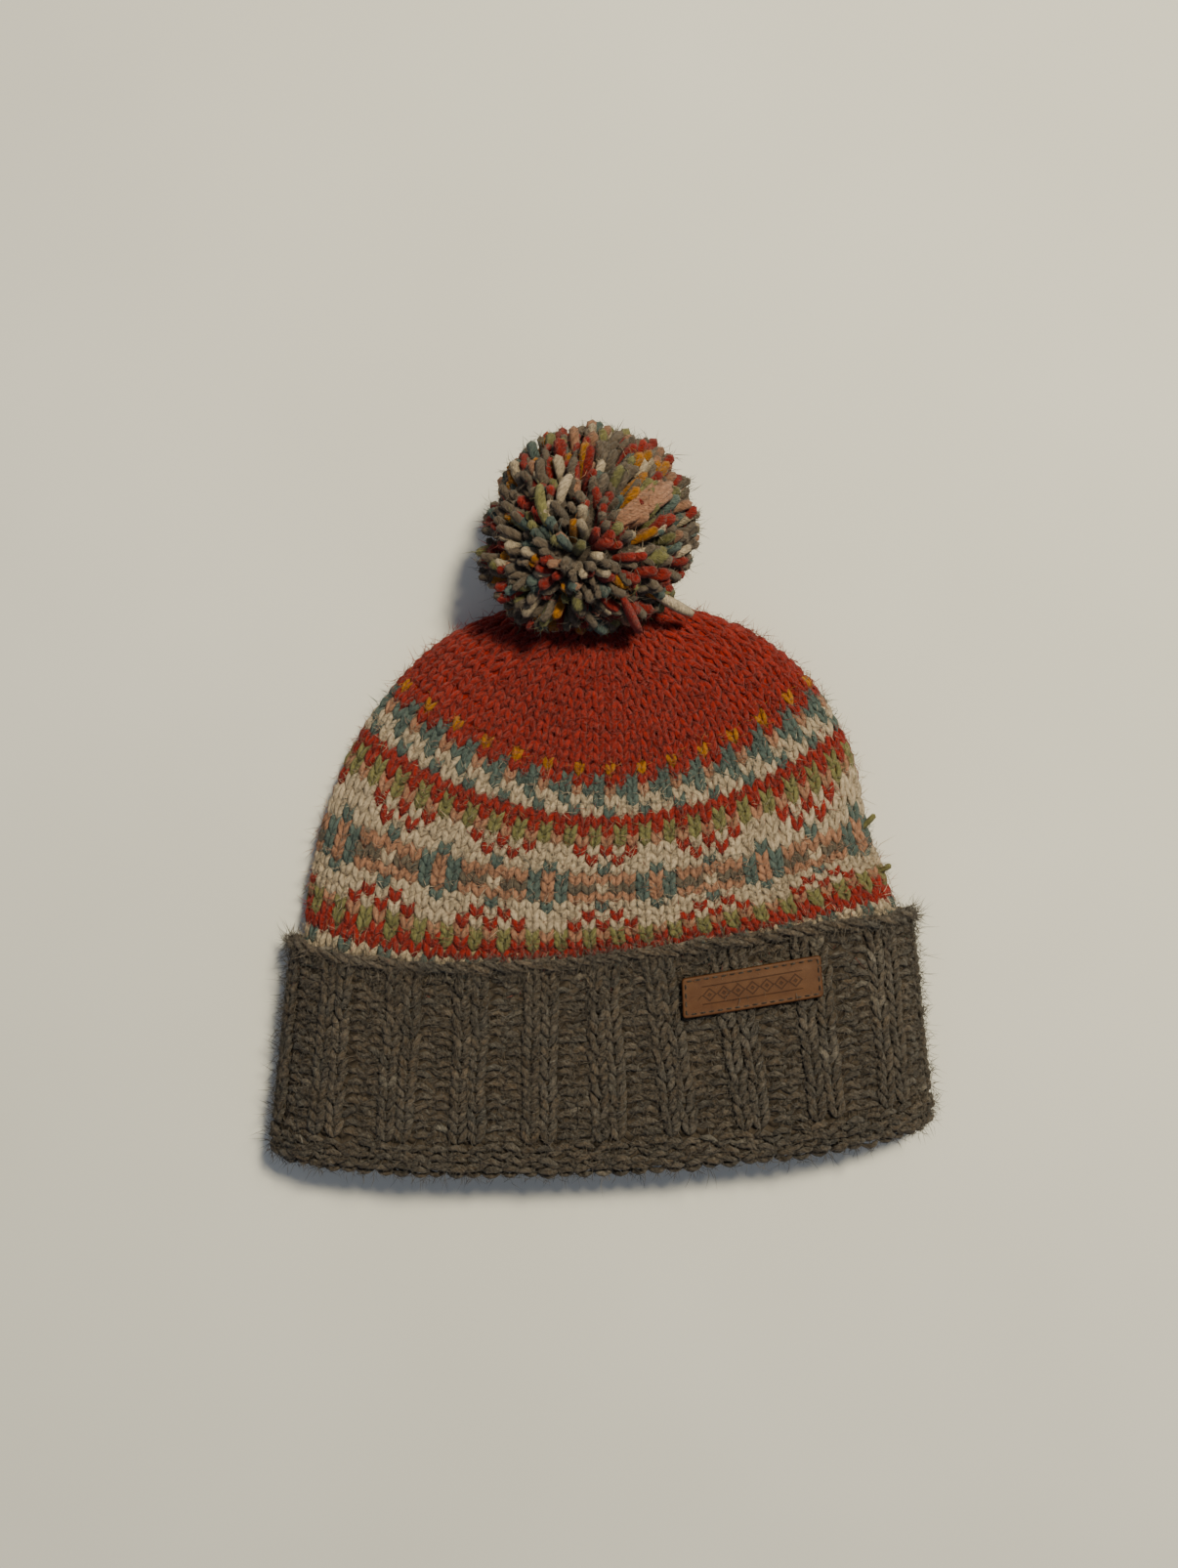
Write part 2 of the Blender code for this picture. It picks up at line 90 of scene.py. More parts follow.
CHART_LETTERS = {
    "R": Yarn.CORAL,
    "T": Yarn.TEAL,
    "C": Yarn.CREAM,
    "G": Yarn.SAGE,
    "P": Yarn.PEACH,
    "M": Yarn.MUSTARD,
    "B": Yarn.TAUPE,
}

# The colourwork from the crown down to the cuff, one text a row. Texts of three letters
# repeat every three stitches, texts of eight letters every eight.
CHART = (
    "MRR",
    "RRT",
    "PTT",
    "CCT",
    "TCC",
    "R",
    "RGRGRGRG",
    "PGPGPGPG",
    "CCRCRCRC",
    "CCCRCRCC",
    "TCCCTCCC",
    "PTPPPPPT",
    "PTBBCBBT",
    "PTPPPPPT",
    "TCCCTCCC",
    "CCCRCRCC",
    "CCRCRCRC",
    "PGPGPGPG",
    "RGRGRGRG",
    "R",
    "TCC",
    "CCT",
    "PTT",
    "RRT",
)


def colours_of(letters: Array) -> Array:
    """Linear colours of an array of chart letters.

    Args:
        letters: Chart letters, any shape.

    Returns:
        Colours, with one more axis of three.
    """
    table = np.zeros((128, 3))
    for letter, yarn in CHART_LETTERS.items():
        table[ord(letter)] = yarn.value
    return table[letters.view(np.uint32)]


def rounded_section(half_width: float, lift: float, side: float, dome: float, radius: float,
                    steps: int = 1440) -> tuple[Array, Array]:
    """Closed cross-section from the front's middle towards +X.

    Both halves follow |x / half width|^k + (z / height)^2 = 1, with k chosen so that the side
    edge has the asked radius above its level and the side's own height below it.

    Args:
        half_width: Half the width.
        lift: Height of the underside.
        side: Height of the side edge above the underside.
        dome: Height of the front above the side edge.
        radius: Radius of the side edge above its level.
        steps: Points round the section.

    Returns:
        The x and z of the points.
    """
    turn = np.linspace(0, 2 * math.pi, steps, endpoint=False)
    across, up = np.sin(turn), np.cos(turn)
    above = max(2.0, 2 * half_width * radius / dome**2)
    below = max(2.0, 2 * half_width / side)
    power = np.where(up >= 0, 2 / above, 2 / below)
    x = half_width * np.sign(across) * np.abs(across) ** power
    z = lift + side + np.where(up >= 0, dome, side) * up
    return x, z


def around(values: Array, at: Array, shares: Array) -> Array:
    """A closed curve's values, known at places from 0 to 1, read at other shares."""
    return np.interp(shares % 1.0, np.append(at, 1.0), np.append(values, values[0]))


@dataclass(frozen=True)
class Sizes:
    """What the shares of a row are of, and how round its side edges are."""

    width: float
    length: float
    height: float
    side_radius: float


@dataclass(frozen=True)
class Row:
    """One knit row right round the hat, as shares of the sizes that it follows."""

    along: float
    width: float
    shift: float
    front_drop: float
    back_drop: float
    lean: float
    tilt: float
    lift: float
    side: float
    dome: float

    def ring(self, sizes: Sizes, shares: Array, depth: float = 0.0, start: float = 0.0) -> Array:
        """Points of the row at shares of its length, set in from its surface.

        The row hangs towards the mouth by drop (1 - s^2)(1 - lean s), where s is the place
        across as a share of the half width.

        Args:
            sizes: What the shares are of.
            shares: Places round the row, 0 at the front's middle and rising towards +X.
            depth: How far in from the surface.
            start: Length at which the row's own length begins.

        Returns:
            Points of shape (n, 3).
        """
        half = self.width * sizes.width / 2
        height = sizes.height
        x, z = rounded_section(
            half, self.lift * height, self.side * height, self.dome * height, sizes.side_radius
        )
        step = np.hypot(np.roll(x, -1) - x, np.roll(z, -1) - z)
        at = np.append(0.0, np.cumsum(step)[:-1]) / step.sum()
        run_x, run_z = np.roll(x, -1) - np.roll(x, 1), np.roll(z, -1) - np.roll(z, 1)
        span = np.hypot(run_x, run_z)
        out_x, out_z = around(-run_z / span, at, shares), around(run_x / span, at, shares)
        x, z = around(x, at, shares), around(z, at, shares)
        front = z >= (self.lift + self.side) * height
        s = x / half
        hang = np.where(front, self.front_drop, self.back_drop) * sizes.length
        hang = hang * (1 - s**2) * (1 - self.lean * s)
        y = start + self.along * sizes.length - hang + math.tan(self.tilt) * x
        return np.stack((x + self.shift * half - out_x * depth, y, z - out_z * depth), axis=-1)


def smooth_rows(keys: Array, places: Array) -> Array:
    """Rings between key rings, by a cubic whose slope at each ring is the local average.

    Args:
        keys: Key rings of shape (k, n, 3).
        places: Places among the key rings, from 0 to k - 1.

    Returns:
        Rings of shape (len(places), n, 3).
    """
    gaps = np.linalg.norm(np.diff(keys, axis=0), axis=-1).mean(axis=-1)
    slopes = np.gradient(keys, np.append(0.0, np.cumsum(gaps)), axis=0)
    low = np.clip(places.astype(int), 0, len(keys) - 2)
    t = (places - low)[:, None, None]
    gap = gaps[low][:, None, None]
    a, b = t**3, t**2
    return (
        (2 * a - 3 * b + 1) * keys[low]
        + (a - 2 * b + t) * gap * slopes[low]
        + (3 * b - 2 * a) * keys[low + 1]
        + (a - b) * gap * slopes[low + 1]
    )


@dataclass
class KnitSurface:
    """A knitted tube as a grid of points: levels along it, columns round it."""

    points: Array
    levels: Array
    turned_out: float = 1.0
    _across: Array = field(init=False, repr=False)
    _along: Array = field(init=False, repr=False)
    _normal: Array = field(init=False, repr=False)

    def __post_init__(self) -> None:
        """Works out the directions across, along and out of the surface at each point."""
        across = np.roll(self.points, -1, axis=1) - np.roll(self.points, 1, axis=1)
        along = np.gradient(self.points, self.levels, axis=0)
        normal = np.cross(across, along)
        self._across = across * self.points.shape[1] / 2
        self._along = along
        self._normal = self.turned_out * normal / np.linalg.norm(normal, axis=-1, keepdims=True)

    @property
    def normal(self) -> Array:
        """Unit normals at the grid's points."""
        return self._normal

    def read(self, grid: Array, level: Array, share: Array) -> Array:
        """Reads a grid at levels and shares, straight between its points.

        Args:
            grid: Values of shape (levels, columns, 3).
            level: Levels.
            share: Shares round the tube.

        Returns:
            The values there.
        """
        rows, columns = grid.shape[:2]
        down = np.clip(np.interp(level, self.levels, np.arange(rows)), 0, rows - 1.0001)
        round_it = (share % 1.0) * columns
        i, j = down.astype(int), round_it.astype(int) % columns
        a, b = (down - i)[..., None], (round_it - np.floor(round_it))[..., None]
        k = (j + 1) % columns
        low = grid[i, j] * (1 - b) + grid[i, k] * b
        high = grid[i + 1, j] * (1 - b) + grid[i + 1, k] * b
        return low * (1 - a) + high * a

    def at(self, level: Array, share: Array) -> tuple[Array, Array, Array, Array]:
        """Points and directions at levels and shares.

        Args:
            level: Levels.
            share: Shares round the tube.

        Returns:
            Points, metres across for one share, metres along for one level, unit normals.
        """
        normal = self.read(self._normal, level, share)
        normal /= np.linalg.norm(normal, axis=-1, keepdims=True)
        return (
            self.read(self.points, level, share),
            self.read(self._across, level, share),
            self.read(self._along, level, share),
            normal,
        )

    def circumference(self, level: Array) -> Array:
        """Length once round the tube at levels."""
        ring = np.linalg.norm(np.roll(self.points, -1, axis=1) - self.points, axis=-1).sum(axis=1)
        return np.interp(level, self.levels, ring)


@dataclass
class Strands:
    """Many short yarns as one mesh: closed tapered tubes along centre lines.

    A point of a tube is its centre line's point + radius (cos a side + flatness sin a up).
    """

    paths: Array
    up: Array
    radius: Array
    colour: Array
    sides: int = 5
    flatness: float = 0.85
    pointed: bool = False

    def __len__(self) -> int:
        """Number of strands."""
        return len(self.paths)

    @staticmethod
    def joined(groups: list["Strands"]) -> "Strands":
        """Several sets with the same number of points and sides as one set.

        Args:
            groups: The sets.

        Returns:
            The one set, with the section of the first.
        """
        return Strands(
            np.concatenate([g.paths for g in groups]),
            np.concatenate([g.up for g in groups]),
            np.concatenate([g.radius for g in groups]),
            np.concatenate([g.colour for g in groups]),
            groups[0].sides,
            groups[0].flatness,
            groups[0].pointed,
        )

    def coarser(self) -> "Strands":
        """The same strands with four rings of four sides, for the side that lies on the floor.

        Returns:
            The coarser strands.
        """
        at = np.linspace(0, self.paths.shape[1] - 1, 4)
        low = np.minimum(at.astype(int), self.paths.shape[1] - 2)
        share = at - low
        thin = [
            values[:, low] * (1 - share).reshape(shape) + values[:, low + 1] * share.reshape(shape)
            for values, shape in ((self.paths, (-1, 1)), (self.up, (-1, 1)), (self.radius, (-1,)))
        ]
        return Strands(thin[0], thin[1], thin[2], self.colour, 4, self.flatness)

    def mesh(self, name: str) -> bpy.types.Mesh:
        """Builds the tubes with a colour, a strand map and a bake map.

        Args:
            name: Name of the mesh.

        Returns:
            The mesh.
        """
        inner = slice(1, -1) if self.pointed else slice(None)
        centres, radii = self.paths[:, inner], self.radius[:, inner]
        count, rings = centres.shape[:2]
        sides = self.sides
        run = np.gradient(self.paths, axis=1)[:, inner]
        run /= np.maximum(np.linalg.norm(run, axis=-1, keepdims=True), 1e-9)
        side = np.cross(run, self.up[:, inner])
        side /= np.maximum(np.linalg.norm(side, axis=-1, keepdims=True), 1e-9)
        lift = np.cross(side, run)
        turn = 2 * math.pi * np.arange(sides) / sides
        tube = centres[:, :, None] + radii[..., None, None] * (
            np.cos(turn)[:, None] * side[:, :, None]
            + self.flatness * np.sin(turn)[:, None] * lift[:, :, None]
        )
        blunt = 0.0 if self.pointed else 0.7
        first = self.paths[:, 0] - run[:, 0] * self.radius[:, 0, None] * blunt
        last = self.paths[:, -1] + run[:, -1] * self.radius[:, -1, None] * blunt
        points = np.concatenate((tube.reshape(count, -1, 3), first[:, None], last[:, None]), axis=1)
        points[..., 2] = np.maximum(points[..., 2], 0.0001)
        per = rings * sides + 2
        base = np.arange(rings * sides).reshape(rings, sides)
        beside = np.roll(base, -1, axis=1)
        quads = np.stack((base[:-1], base[1:], beside[1:], beside[:-1]), axis=-1).reshape(-1, 4)
        foot = np.stack((base[0], beside[0], np.full(sides, per - 2)), axis=-1)
        head = np.stack((beside[-1], base[-1], np.full(sides, per - 1)), axis=-1)
        offset = np.arange(count)[:, None, None] * per
        corner = np.concatenate(
            [
                (quads[None] + offset).reshape(count, -1),
                (foot[None] + offset).reshape(count, -1),
                (head[None] + offset).reshape(count, -1),
            ],
            axis=1,
        ).ravel()
        sizes = np.tile(np.r_[np.full(len(quads), 4), np.full(2 * sides, 3)], count)
        mesh = bpy.data.meshes.new(name)
        mesh.vertices.add(count * per)
        mesh.vertices.foreach_set("co", points.astype(np.float32).ravel())
        mesh.loops.add(len(corner))
        mesh.loops.foreach_set("vertex_index", corner.astype(np.int32))
        mesh.polygons.add(len(sizes))
        starts = np.append(0, np.cumsum(sizes)[:-1]).astype(np.int32)
        mesh.polygons.foreach_set("loop_start", starts)
        mesh.update(calc_edges=True)
        mesh.validate()
        mesh.polygons.foreach_set("use_smooth", np.ones(len(sizes), bool))
        self._write_maps(mesh, count, rings, sides)
        shade = np.ones((count, per, 4))
        shade[..., :3] = self.colour[:, None, :]
        write_attribute(mesh, "yarn_colour", shade)
        return mesh

    def _write_maps(self, mesh: bpy.types.Mesh, count: int, rings: int, sides: int) -> None:
        """Writes the strand map (centimetres along, turns round) and the bake map (a cell each).

        Args:
            mesh: The mesh.
            count: Number of strands.
            rings: Rings of a strand.
            sides: Sides of a ring.
        """
        length = np.linalg.norm(np.diff(self.paths, axis=1), axis=-1).sum(axis=1)
        u = np.arange(rings) / (rings - 1)
        v = np.arange(sides + 1) / sides
        rows, columns = np.meshgrid(np.arange(rings - 1), np.arange(sides), indexing="ij")
        rows, columns = rows.ravel(), columns.ravel()
        quad_u = np.stack((u[rows], u[rows + 1], u[rows + 1], u[rows]), axis=-1)
        quad_v = np.stack((v[columns], v[columns], v[columns + 1], v[columns + 1]), axis=-1)
        k = np.arange(sides)
        cap_v = (v[k] + v[k + 1]) / 2
        foot_u = np.stack((np.zeros(sides), np.zeros(sides), np.full(sides, -0.08)), axis=-1)
        foot_v = np.stack((v[k], v[k + 1], cap_v), axis=-1)
        head_u = np.stack((np.ones(sides), np.ones(sides), np.full(sides, 1.08)), axis=-1)
        head_v = np.stack((v[k + 1], v[k], cap_v), axis=-1)
        one_u = np.concatenate((quad_u.ravel(), foot_u.ravel(), head_u.ravel()))
        one_v = np.concatenate((quad_v.ravel(), foot_v.ravel(), head_v.ravel()))
        rng = np.random.default_rng(len(self) + rings)
        slide = rng.uniform(0, 5, (count, 2))
        strand = np.stack(
            (one_u * length[:, None] * 100 + slide[:, :1], one_v + slide[:, 1:]), axis=-1
        )
        cells = math.ceil(math.sqrt(count))
        column, row = np.arange(count) % cells, np.arange(count) // cells
        bake = np.stack(
            (
                (column[:, None] + 0.14 + 0.72 * (one_u + 0.08) / 1.16) / cells,
                (row[:, None] + 0.14 + 0.72 * one_v) / cells,
            ),
            axis=-1,
        )
        for label, values in (("OFBake", bake), ("Strand", strand)):
            layer = mesh.uv_layers.new(name=label)
            layer.uv.foreach_set("vector", values.astype(np.float32).ravel())


def grid_mesh(name: str, points: Array, closed: bool, flip: bool = False,
              looped: bool = False, capped: bool = False) -> bpy.types.Mesh:
    """A mesh from rows of points, with a plain bake map over the grid.

    Args:
        name: Name of the mesh.
        points: Points of shape (rows, columns, 3).
        closed: Whether each row joins its own start.
        flip: Whether the faces point the other way.
        looped: Whether the last row joins the first.
        capped: Whether the first and the last row are each filled with one face.

    Returns:
        The mesh.
    """
    rows, columns = points.shape[:2]
    across, down = (columns if closed else columns - 1), (rows if looped else rows - 1)
    index = np.arange(rows * columns).reshape(rows, columns)
    right, below = np.roll(index, -1, axis=1), np.roll(index, -1, axis=0)
    quads = np.stack((index, right, np.roll(right, -1, axis=0), below), axis=-1)
    quads = quads[:down, :across].reshape(-1, 4)
    u, v = np.arange(across + 1) / across, np.arange(down + 1) / down
    i, j = np.meshgrid(np.arange(down), np.arange(across), indexing="ij")
    corner_u = np.stack((u[j], u[j + 1], u[j + 1], u[j]), axis=-1).reshape(-1, 4)
    corner_v = np.stack((v[i], v[i], v[i + 1], v[i + 1]), axis=-1).reshape(-1, 4)
    turn = -1 if flip else 1
    faces = quads[:, ::turn].tolist()
    maps = np.stack((corner_u[:, ::turn], corner_v[:, ::turn]), axis=-1).reshape(-1, 2)
    if capped:
        faces += [index[0, ::-turn].tolist(), index[-1, ::turn].tolist()]
        ends = np.stack((np.tile(u[:-1], 2), np.repeat((0.0, 1.0), columns)), axis=-1)
        maps = np.concatenate((maps, ends))
    mesh = bpy.data.meshes.new(name)
    mesh.from_pydata(points.reshape(-1, 3).tolist(), [], faces)
    mesh.update()
    layer = mesh.uv_layers.new(name="OFBake")
    layer.uv.foreach_set("vector", maps.astype(np.float32).ravel())
    mesh.polygons.foreach_set("use_smooth", np.ones(len(faces), bool))
    return mesh


def write_attribute(mesh: bpy.types.Mesh, name: str, values: Array) -> None:
    """Writes a value for each point: a vector for three numbers, a colour for four.

    Args:
        mesh: The mesh.
        name: Name of the attribute.
        values: Values with a last axis of three or four.
    """
    is_vector = values.shape[-1] == 3
    kind, label = ("FLOAT_VECTOR", "vector") if is_vector else ("FLOAT_COLOR", "color")
    layer = mesh.attributes.new(name, kind, "POINT")
    layer.data.foreach_set(label, values.astype(np.float32).ravel())


def dressed(name: str, mesh: bpy.types.Mesh, material: bpy.types.Material,
            slot: str, *nodes: str) -> bpy.types.Object:
    """Puts a finished piece into the scene, riding on the hat.

    Args:
        name: Name of the piece.
        mesh: Its mesh, in place.
        material: Its finish.
        slot: Not used.
        nodes: The parts that it stands for.

    Returns:
        The piece.
    """
    piece = bpy.data.objects.new(name, mesh)
    bpy.context.scene.collection.objects.link(piece)
    mesh.materials.append(material)
    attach(piece, ROOT)
    if nodes:
        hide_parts(*nodes)
    log.info("%s: %d faces", name, len(mesh.polygons))
    return piece


def dress_strands(name: str, strands: Strands, material: bpy.types.Material,
                  slot: str, *nodes: str) -> None:
    """Puts a set of strands into the scene as one piece.

    Args:
        name: Name of the piece and its mesh.
        strands: The strands.
        material: Their finish.
        slot: Not used; passed on to dressed, which doesn't read it.
        nodes: The parts that the piece stands for.
    """
    dressed(name, strands.mesh(name), material, slot, *nodes)


def set_inputs(node: bpy.types.Node, **values: object) -> None:
    """Sets a node's own inputs by name, with _ for a space."""
    for key, value in values.items():
        node.inputs[key.replace("_", " ")].default_value = value


class Nodes:
    """Short ways to place and join shader nodes in a tree."""

    def __init__(self, tree: bpy.types.NodeTree) -> None:
        """Keeps the tree."""
        self.tree = tree

    def add(self, kind: str, **values: object) -> bpy.types.Node:
        """Adds a node, and sets its properties, or its inputs where the name is an input's.

        Args:
            kind: Type of the node.
            values: Properties, or inputs by name with _ for a space.

        Returns:
            The node.
        """
        node = self.tree.nodes.new(kind)
        for key, value in values.items():
            if hasattr(node, key):
                setattr(node, key, value)
            else:
                set_inputs(node, **{key: value})
        return node

    def join(self, source: bpy.types.NodeSocket, target: bpy.types.NodeSocket) -> None:
        """Joins two sockets."""
        self.tree.links.new(source, target)

    def maths(self, operation: str, a: object, b: object = 0.0) -> bpy.types.NodeSocket:
        """A Math node's result.

        Args:
            operation: The node's operation.
            a: First input, a socket or a number.
            b: Second input, a socket or a number.

        Returns:
            The result.
        """
        node = self.tree.nodes.new("ShaderNodeMath")
        node.operation = operation
        for socket, value in zip(node.inputs, (a, b)):
            if isinstance(value, bpy.types.NodeSocket):
                self.join(value, socket)
            else:
                socket.default_value = value
        return node.outputs[0]

    def grey(self, value: bpy.types.NodeSocket) -> bpy.types.NodeSocket:
        """A grey of a value.

        Args:
            value: The value.

        Returns:
            The grey colour.
        """
        made = self.add("ShaderNodeCombineColor")
        for socket in made.inputs:
            self.join(value, socket)
        return made.outputs[0]

    def span(self, value: bpy.types.NodeSocket, low: float, high: float,
             to_low: float = 0.0, to_high: float = 1.0) -> bpy.types.NodeSocket:
        """A value's range turned into another, held at its ends.

        Args:
            value: The value.
            low: Where the range begins.
            high: Where it ends.
            to_low: The result at its beginning.
            to_high: The result at its end.

        Returns:
            The result.
        """
        node = self.add("ShaderNodeMapRange")
        for name, number in zip(("From Min", "From Max", "To Min", "To Max"),
                                (low, high, to_low, to_high)):
            node.inputs[name].default_value = number
        self.join(value, node.inputs["Value"])
        return node.outputs["Result"]

    def blend(self, mode: str, share: object, a: object, b: object) -> bpy.types.NodeSocket:
        """Two colours blended by a share.

        Args:
            mode: The way to blend.
            share: The second colour's share, a socket or a number.
            a: First colour, a socket or three numbers.
            b: Second colour, a socket or three numbers.

        Returns:
            The blended colour.
        """
        node = self.add("ShaderNodeMix", data_type="RGBA", blend_type=mode)
        for socket, value in ((node.inputs[0], share), (node.inputs[6], a), (node.inputs[7], b)):
            if isinstance(value, bpy.types.NodeSocket):
                self.join(value, socket)
            elif isinstance(value, tuple):
                socket.default_value = (*value, 1.0)
            else:
                socket.default_value = value
        return node.outputs[2]

    def bump(self, shader: bpy.types.Node, height: bpy.types.NodeSocket, strength: float,
             distance: float) -> None:
        """Turns a height into a shader's normal.

        Args:
            shader: The shader.
            height: The height.
            strength: Strength of the bump.
            distance: How tall a height of one is.
        """
        bump = self.add("ShaderNodeBump", Strength=strength, Distance=distance)
        self.join(height, bump.inputs["Height"])
        self.join(bump.outputs[0], shader.inputs["Normal"])


def new_material(name: str) -> tuple[bpy.types.Material, Nodes, bpy.types.Node]:
    """An empty material.

    Args:
        name: Name of the material.

    Returns:
        The material, its nodes and its shader.
    """
    made = bpy.data.materials.new(name)
    made.use_nodes = True
    return made, Nodes(made.node_tree), made.node_tree.nodes["Principled BSDF"]


def new_group(name: str, inputs: dict[str, tuple[str, object]],
              outputs: dict[str, str]) -> tuple[bpy.types.NodeTree, bpy.types.Node, bpy.types.Node]:
    """An empty shader node group with named sockets.

    Args:
        name: Name of the group.
        inputs: Socket name to (type, default).
        outputs: Socket name to type.

    Returns:
        The group, its input node and its output node.
    """
    group = bpy.data.node_groups.new(name, "ShaderNodeTree")
    for label, (kind, default) in inputs.items():
        socket = group.interface.new_socket(label, in_out="INPUT", socket_type=kind)
        socket.default_value = default
    for label, kind in outputs.items():
        group.interface.new_socket(label, in_out="OUTPUT", socket_type=kind)
    return group, group.nodes.new("NodeGroupInput"), group.nodes.new("NodeGroupOutput")


def wool_group() -> bpy.types.NodeTree:
    """Brushed wool along a strand: twisted fibres, heather flecks and a height for the bump.

    Fibres are noise read on the strand map, long along the yarn and fine across it, sheared so
    that they twist. Flecks are a second, coarser noise that lightens or darkens the colour.
    Stray fibres are the thin lines where a noise over the hat is near its middle, in the pale
    fleck colour: partly the wool's own pale fibres, partly painted sheen of the lit fuzz.

    Returns:
        The group.
    """
    group, start, end = new_group(
        "wool_fibres",
        {
            "Strand": ("NodeSocketVector", (0.0, 0.0, 0.0)),
            "Place": ("NodeSocketVector", (0.0, 0.0, 0.0)),
            "Colour": ("NodeSocketColor", (0.5, 0.5, 0.5, 1.0)),
            "Twist": ("NodeSocketFloat", 1.0),
            "Fleck": ("NodeSocketFloat", 0.3),
            "Contrast": ("NodeSocketFloat", 0.35),
            "Haze": ("NodeSocketFloat", 0.3),
            "Fleck Light": ("NodeSocketColor", (0.6, 0.55, 0.45, 1.0)),
        },
        {"Colour": "NodeSocketColor", "Height": "NodeSocketFloat"},
    )
    n = Nodes(group)
    parts = n.add("ShaderNodeSeparateXYZ")
    n.join(start.outputs["Strand"], parts.inputs[0])
    shear = n.maths("MULTIPLY", parts.outputs[0], start.outputs["Twist"])
    sheared = n.maths("ADD", parts.outputs[1], shear)
    place = n.add("ShaderNodeCombineXYZ")
    n.join(parts.outputs[0], place.inputs[0])
    n.join(n.maths("MULTIPLY", sheared, 6.0), place.inputs[1])
    fibres = n.add("ShaderNodeTexNoise", Scale=3.4, Detail=4.0, Roughness=0.62)
    n.join(place.outputs[0], fibres.inputs["Vector"])
    flecks = n.add("ShaderNodeTexNoise", Scale=2.0, Detail=3.0, Roughness=0.7)
    n.join(place.outputs[0], flecks.inputs["Vector"])
    streak = n.span(fibres.outputs["Fac"], 0.32, 0.68, -1.0, 1.0)
    swing = n.maths("MULTIPLY", streak, start.outputs["Contrast"])
    tufts = n.add("ShaderNodeTexNoise", Scale=900.0, Detail=3.0, Roughness=0.6)
    n.join(start.outputs["Place"], tufts.inputs["Vector"])
    tuft = n.span(tufts.outputs["Fac"], 0.32, 0.68, -0.5, 0.5)
    swing = n.maths("ADD", swing, n.maths("MULTIPLY", tuft, start.outputs["Contrast"]))
    shade = n.maths("ADD", swing, 1.0)
    toned = n.blend("MULTIPLY", 1.0, start.outputs["Colour"], n.grey(shade))
    light = n.maths("MULTIPLY", n.span(flecks.outputs["Fac"], 0.55, 0.72), start.outputs["Fleck"])
    lit = n.blend("MIX", light, toned, start.outputs["Fleck Light"])
    dark = n.maths("MULTIPLY", n.span(flecks.outputs["Fac"], 0.46, 0.30), start.outputs["Fleck"])
    flecked = n.blend("MULTIPLY", dark, lit, (0.30, 0.27, 0.25))
    strays = n.add("ShaderNodeTexNoise", Scale=430.0, Detail=2.0, Distortion=0.8)
    n.join(start.outputs["Place"], strays.inputs["Vector"])
    off_ridge = n.maths("ABSOLUTE", n.maths("SUBTRACT", strays.outputs["Fac"], 0.5))
    # The stray lines are partly pale fibres and partly painted sheen.
    line = n.maths("MULTIPLY", n.span(off_ridge, 0.0, 0.034, 1.0, 0.0), start.outputs["Haze"])
    n.join(n.blend("MIX", line, flecked, start.outputs["Fleck Light"]), end.inputs["Colour"])
    n.join(n.maths("ADD", fibres.outputs["Fac"], tufts.outputs["Fac"]), end.inputs["Height"])
    return group


@dataclass(frozen=True)
class WoolFinish:
    """Wool yarn whose colour comes from each strand."""

    name: str
    fleck: float
    fleck_light: Colour
    twist: float
    contrast: float
    haze: float
    bump: float
    sheen: float = 0.10

    def material(self) -> bpy.types.Material:
        """Fibres read on the strand map, over the strand's own colour.

        Returns:
            The yarn's material.
        """
        made, n, shader = new_material(self.name)
        group = bpy.data.node_groups.get("wool_fibres") or wool_group()
        wool = n.add("ShaderNodeGroup", node_tree=group)
        set_inputs(wool, Twist=self.twist, Fleck=self.fleck, Contrast=self.contrast, Haze=self.haze)
        set_inputs(wool, Fleck_Light=(*self.fleck_light, 1.0))
        n.join(n.add("ShaderNodeTexCoord").outputs["Object"], wool.inputs["Place"])
        n.join(n.add("ShaderNodeUVMap", uv_map="Strand").outputs[0], wool.inputs["Strand"])
        colour = n.add("ShaderNodeAttribute", attribute_name="yarn_colour")
        n.join(colour.outputs["Color"], wool.inputs["Colour"])
        n.join(wool.outputs["Colour"], shader.inputs["Base Color"])
        n.bump(shader, wool.outputs["Height"], 0.9, self.bump)
        set_inputs(shader, Roughness=0.92, Specular_IOR_Level=0.08)
        set_inputs(shader, Sheen_Weight=self.sheen, Sheen_Roughness=0.5)
        return made


def purl_group() -> bpy.types.NodeTree:
    """Rows of arched bumps, as the wrong side of knitting has.

    The height is sin(pi fract(row + 0.22 cos(2 pi column))).

    Returns:
        The group.
    """
    group, start, end = new_group(
        "purl_rows", {"Place": ("NodeSocketVector", (0.0, 0.0, 0.0))}, {"Height": "NodeSocketFloat"}
    )
    n = Nodes(group)
    parts = n.add("ShaderNodeSeparateXYZ")
    n.join(start.outputs["Place"], parts.inputs[0])
    wave = n.maths("COSINE", n.maths("MULTIPLY", parts.outputs[0], 2 * math.pi))
    row = n.maths("FRACT", n.maths("ADD", parts.outputs[1], n.maths("MULTIPLY", wave, 0.22)))
    n.join(n.maths("SINE", n.maths("MULTIPLY", row, math.pi)), end.inputs["Height"])
    return group


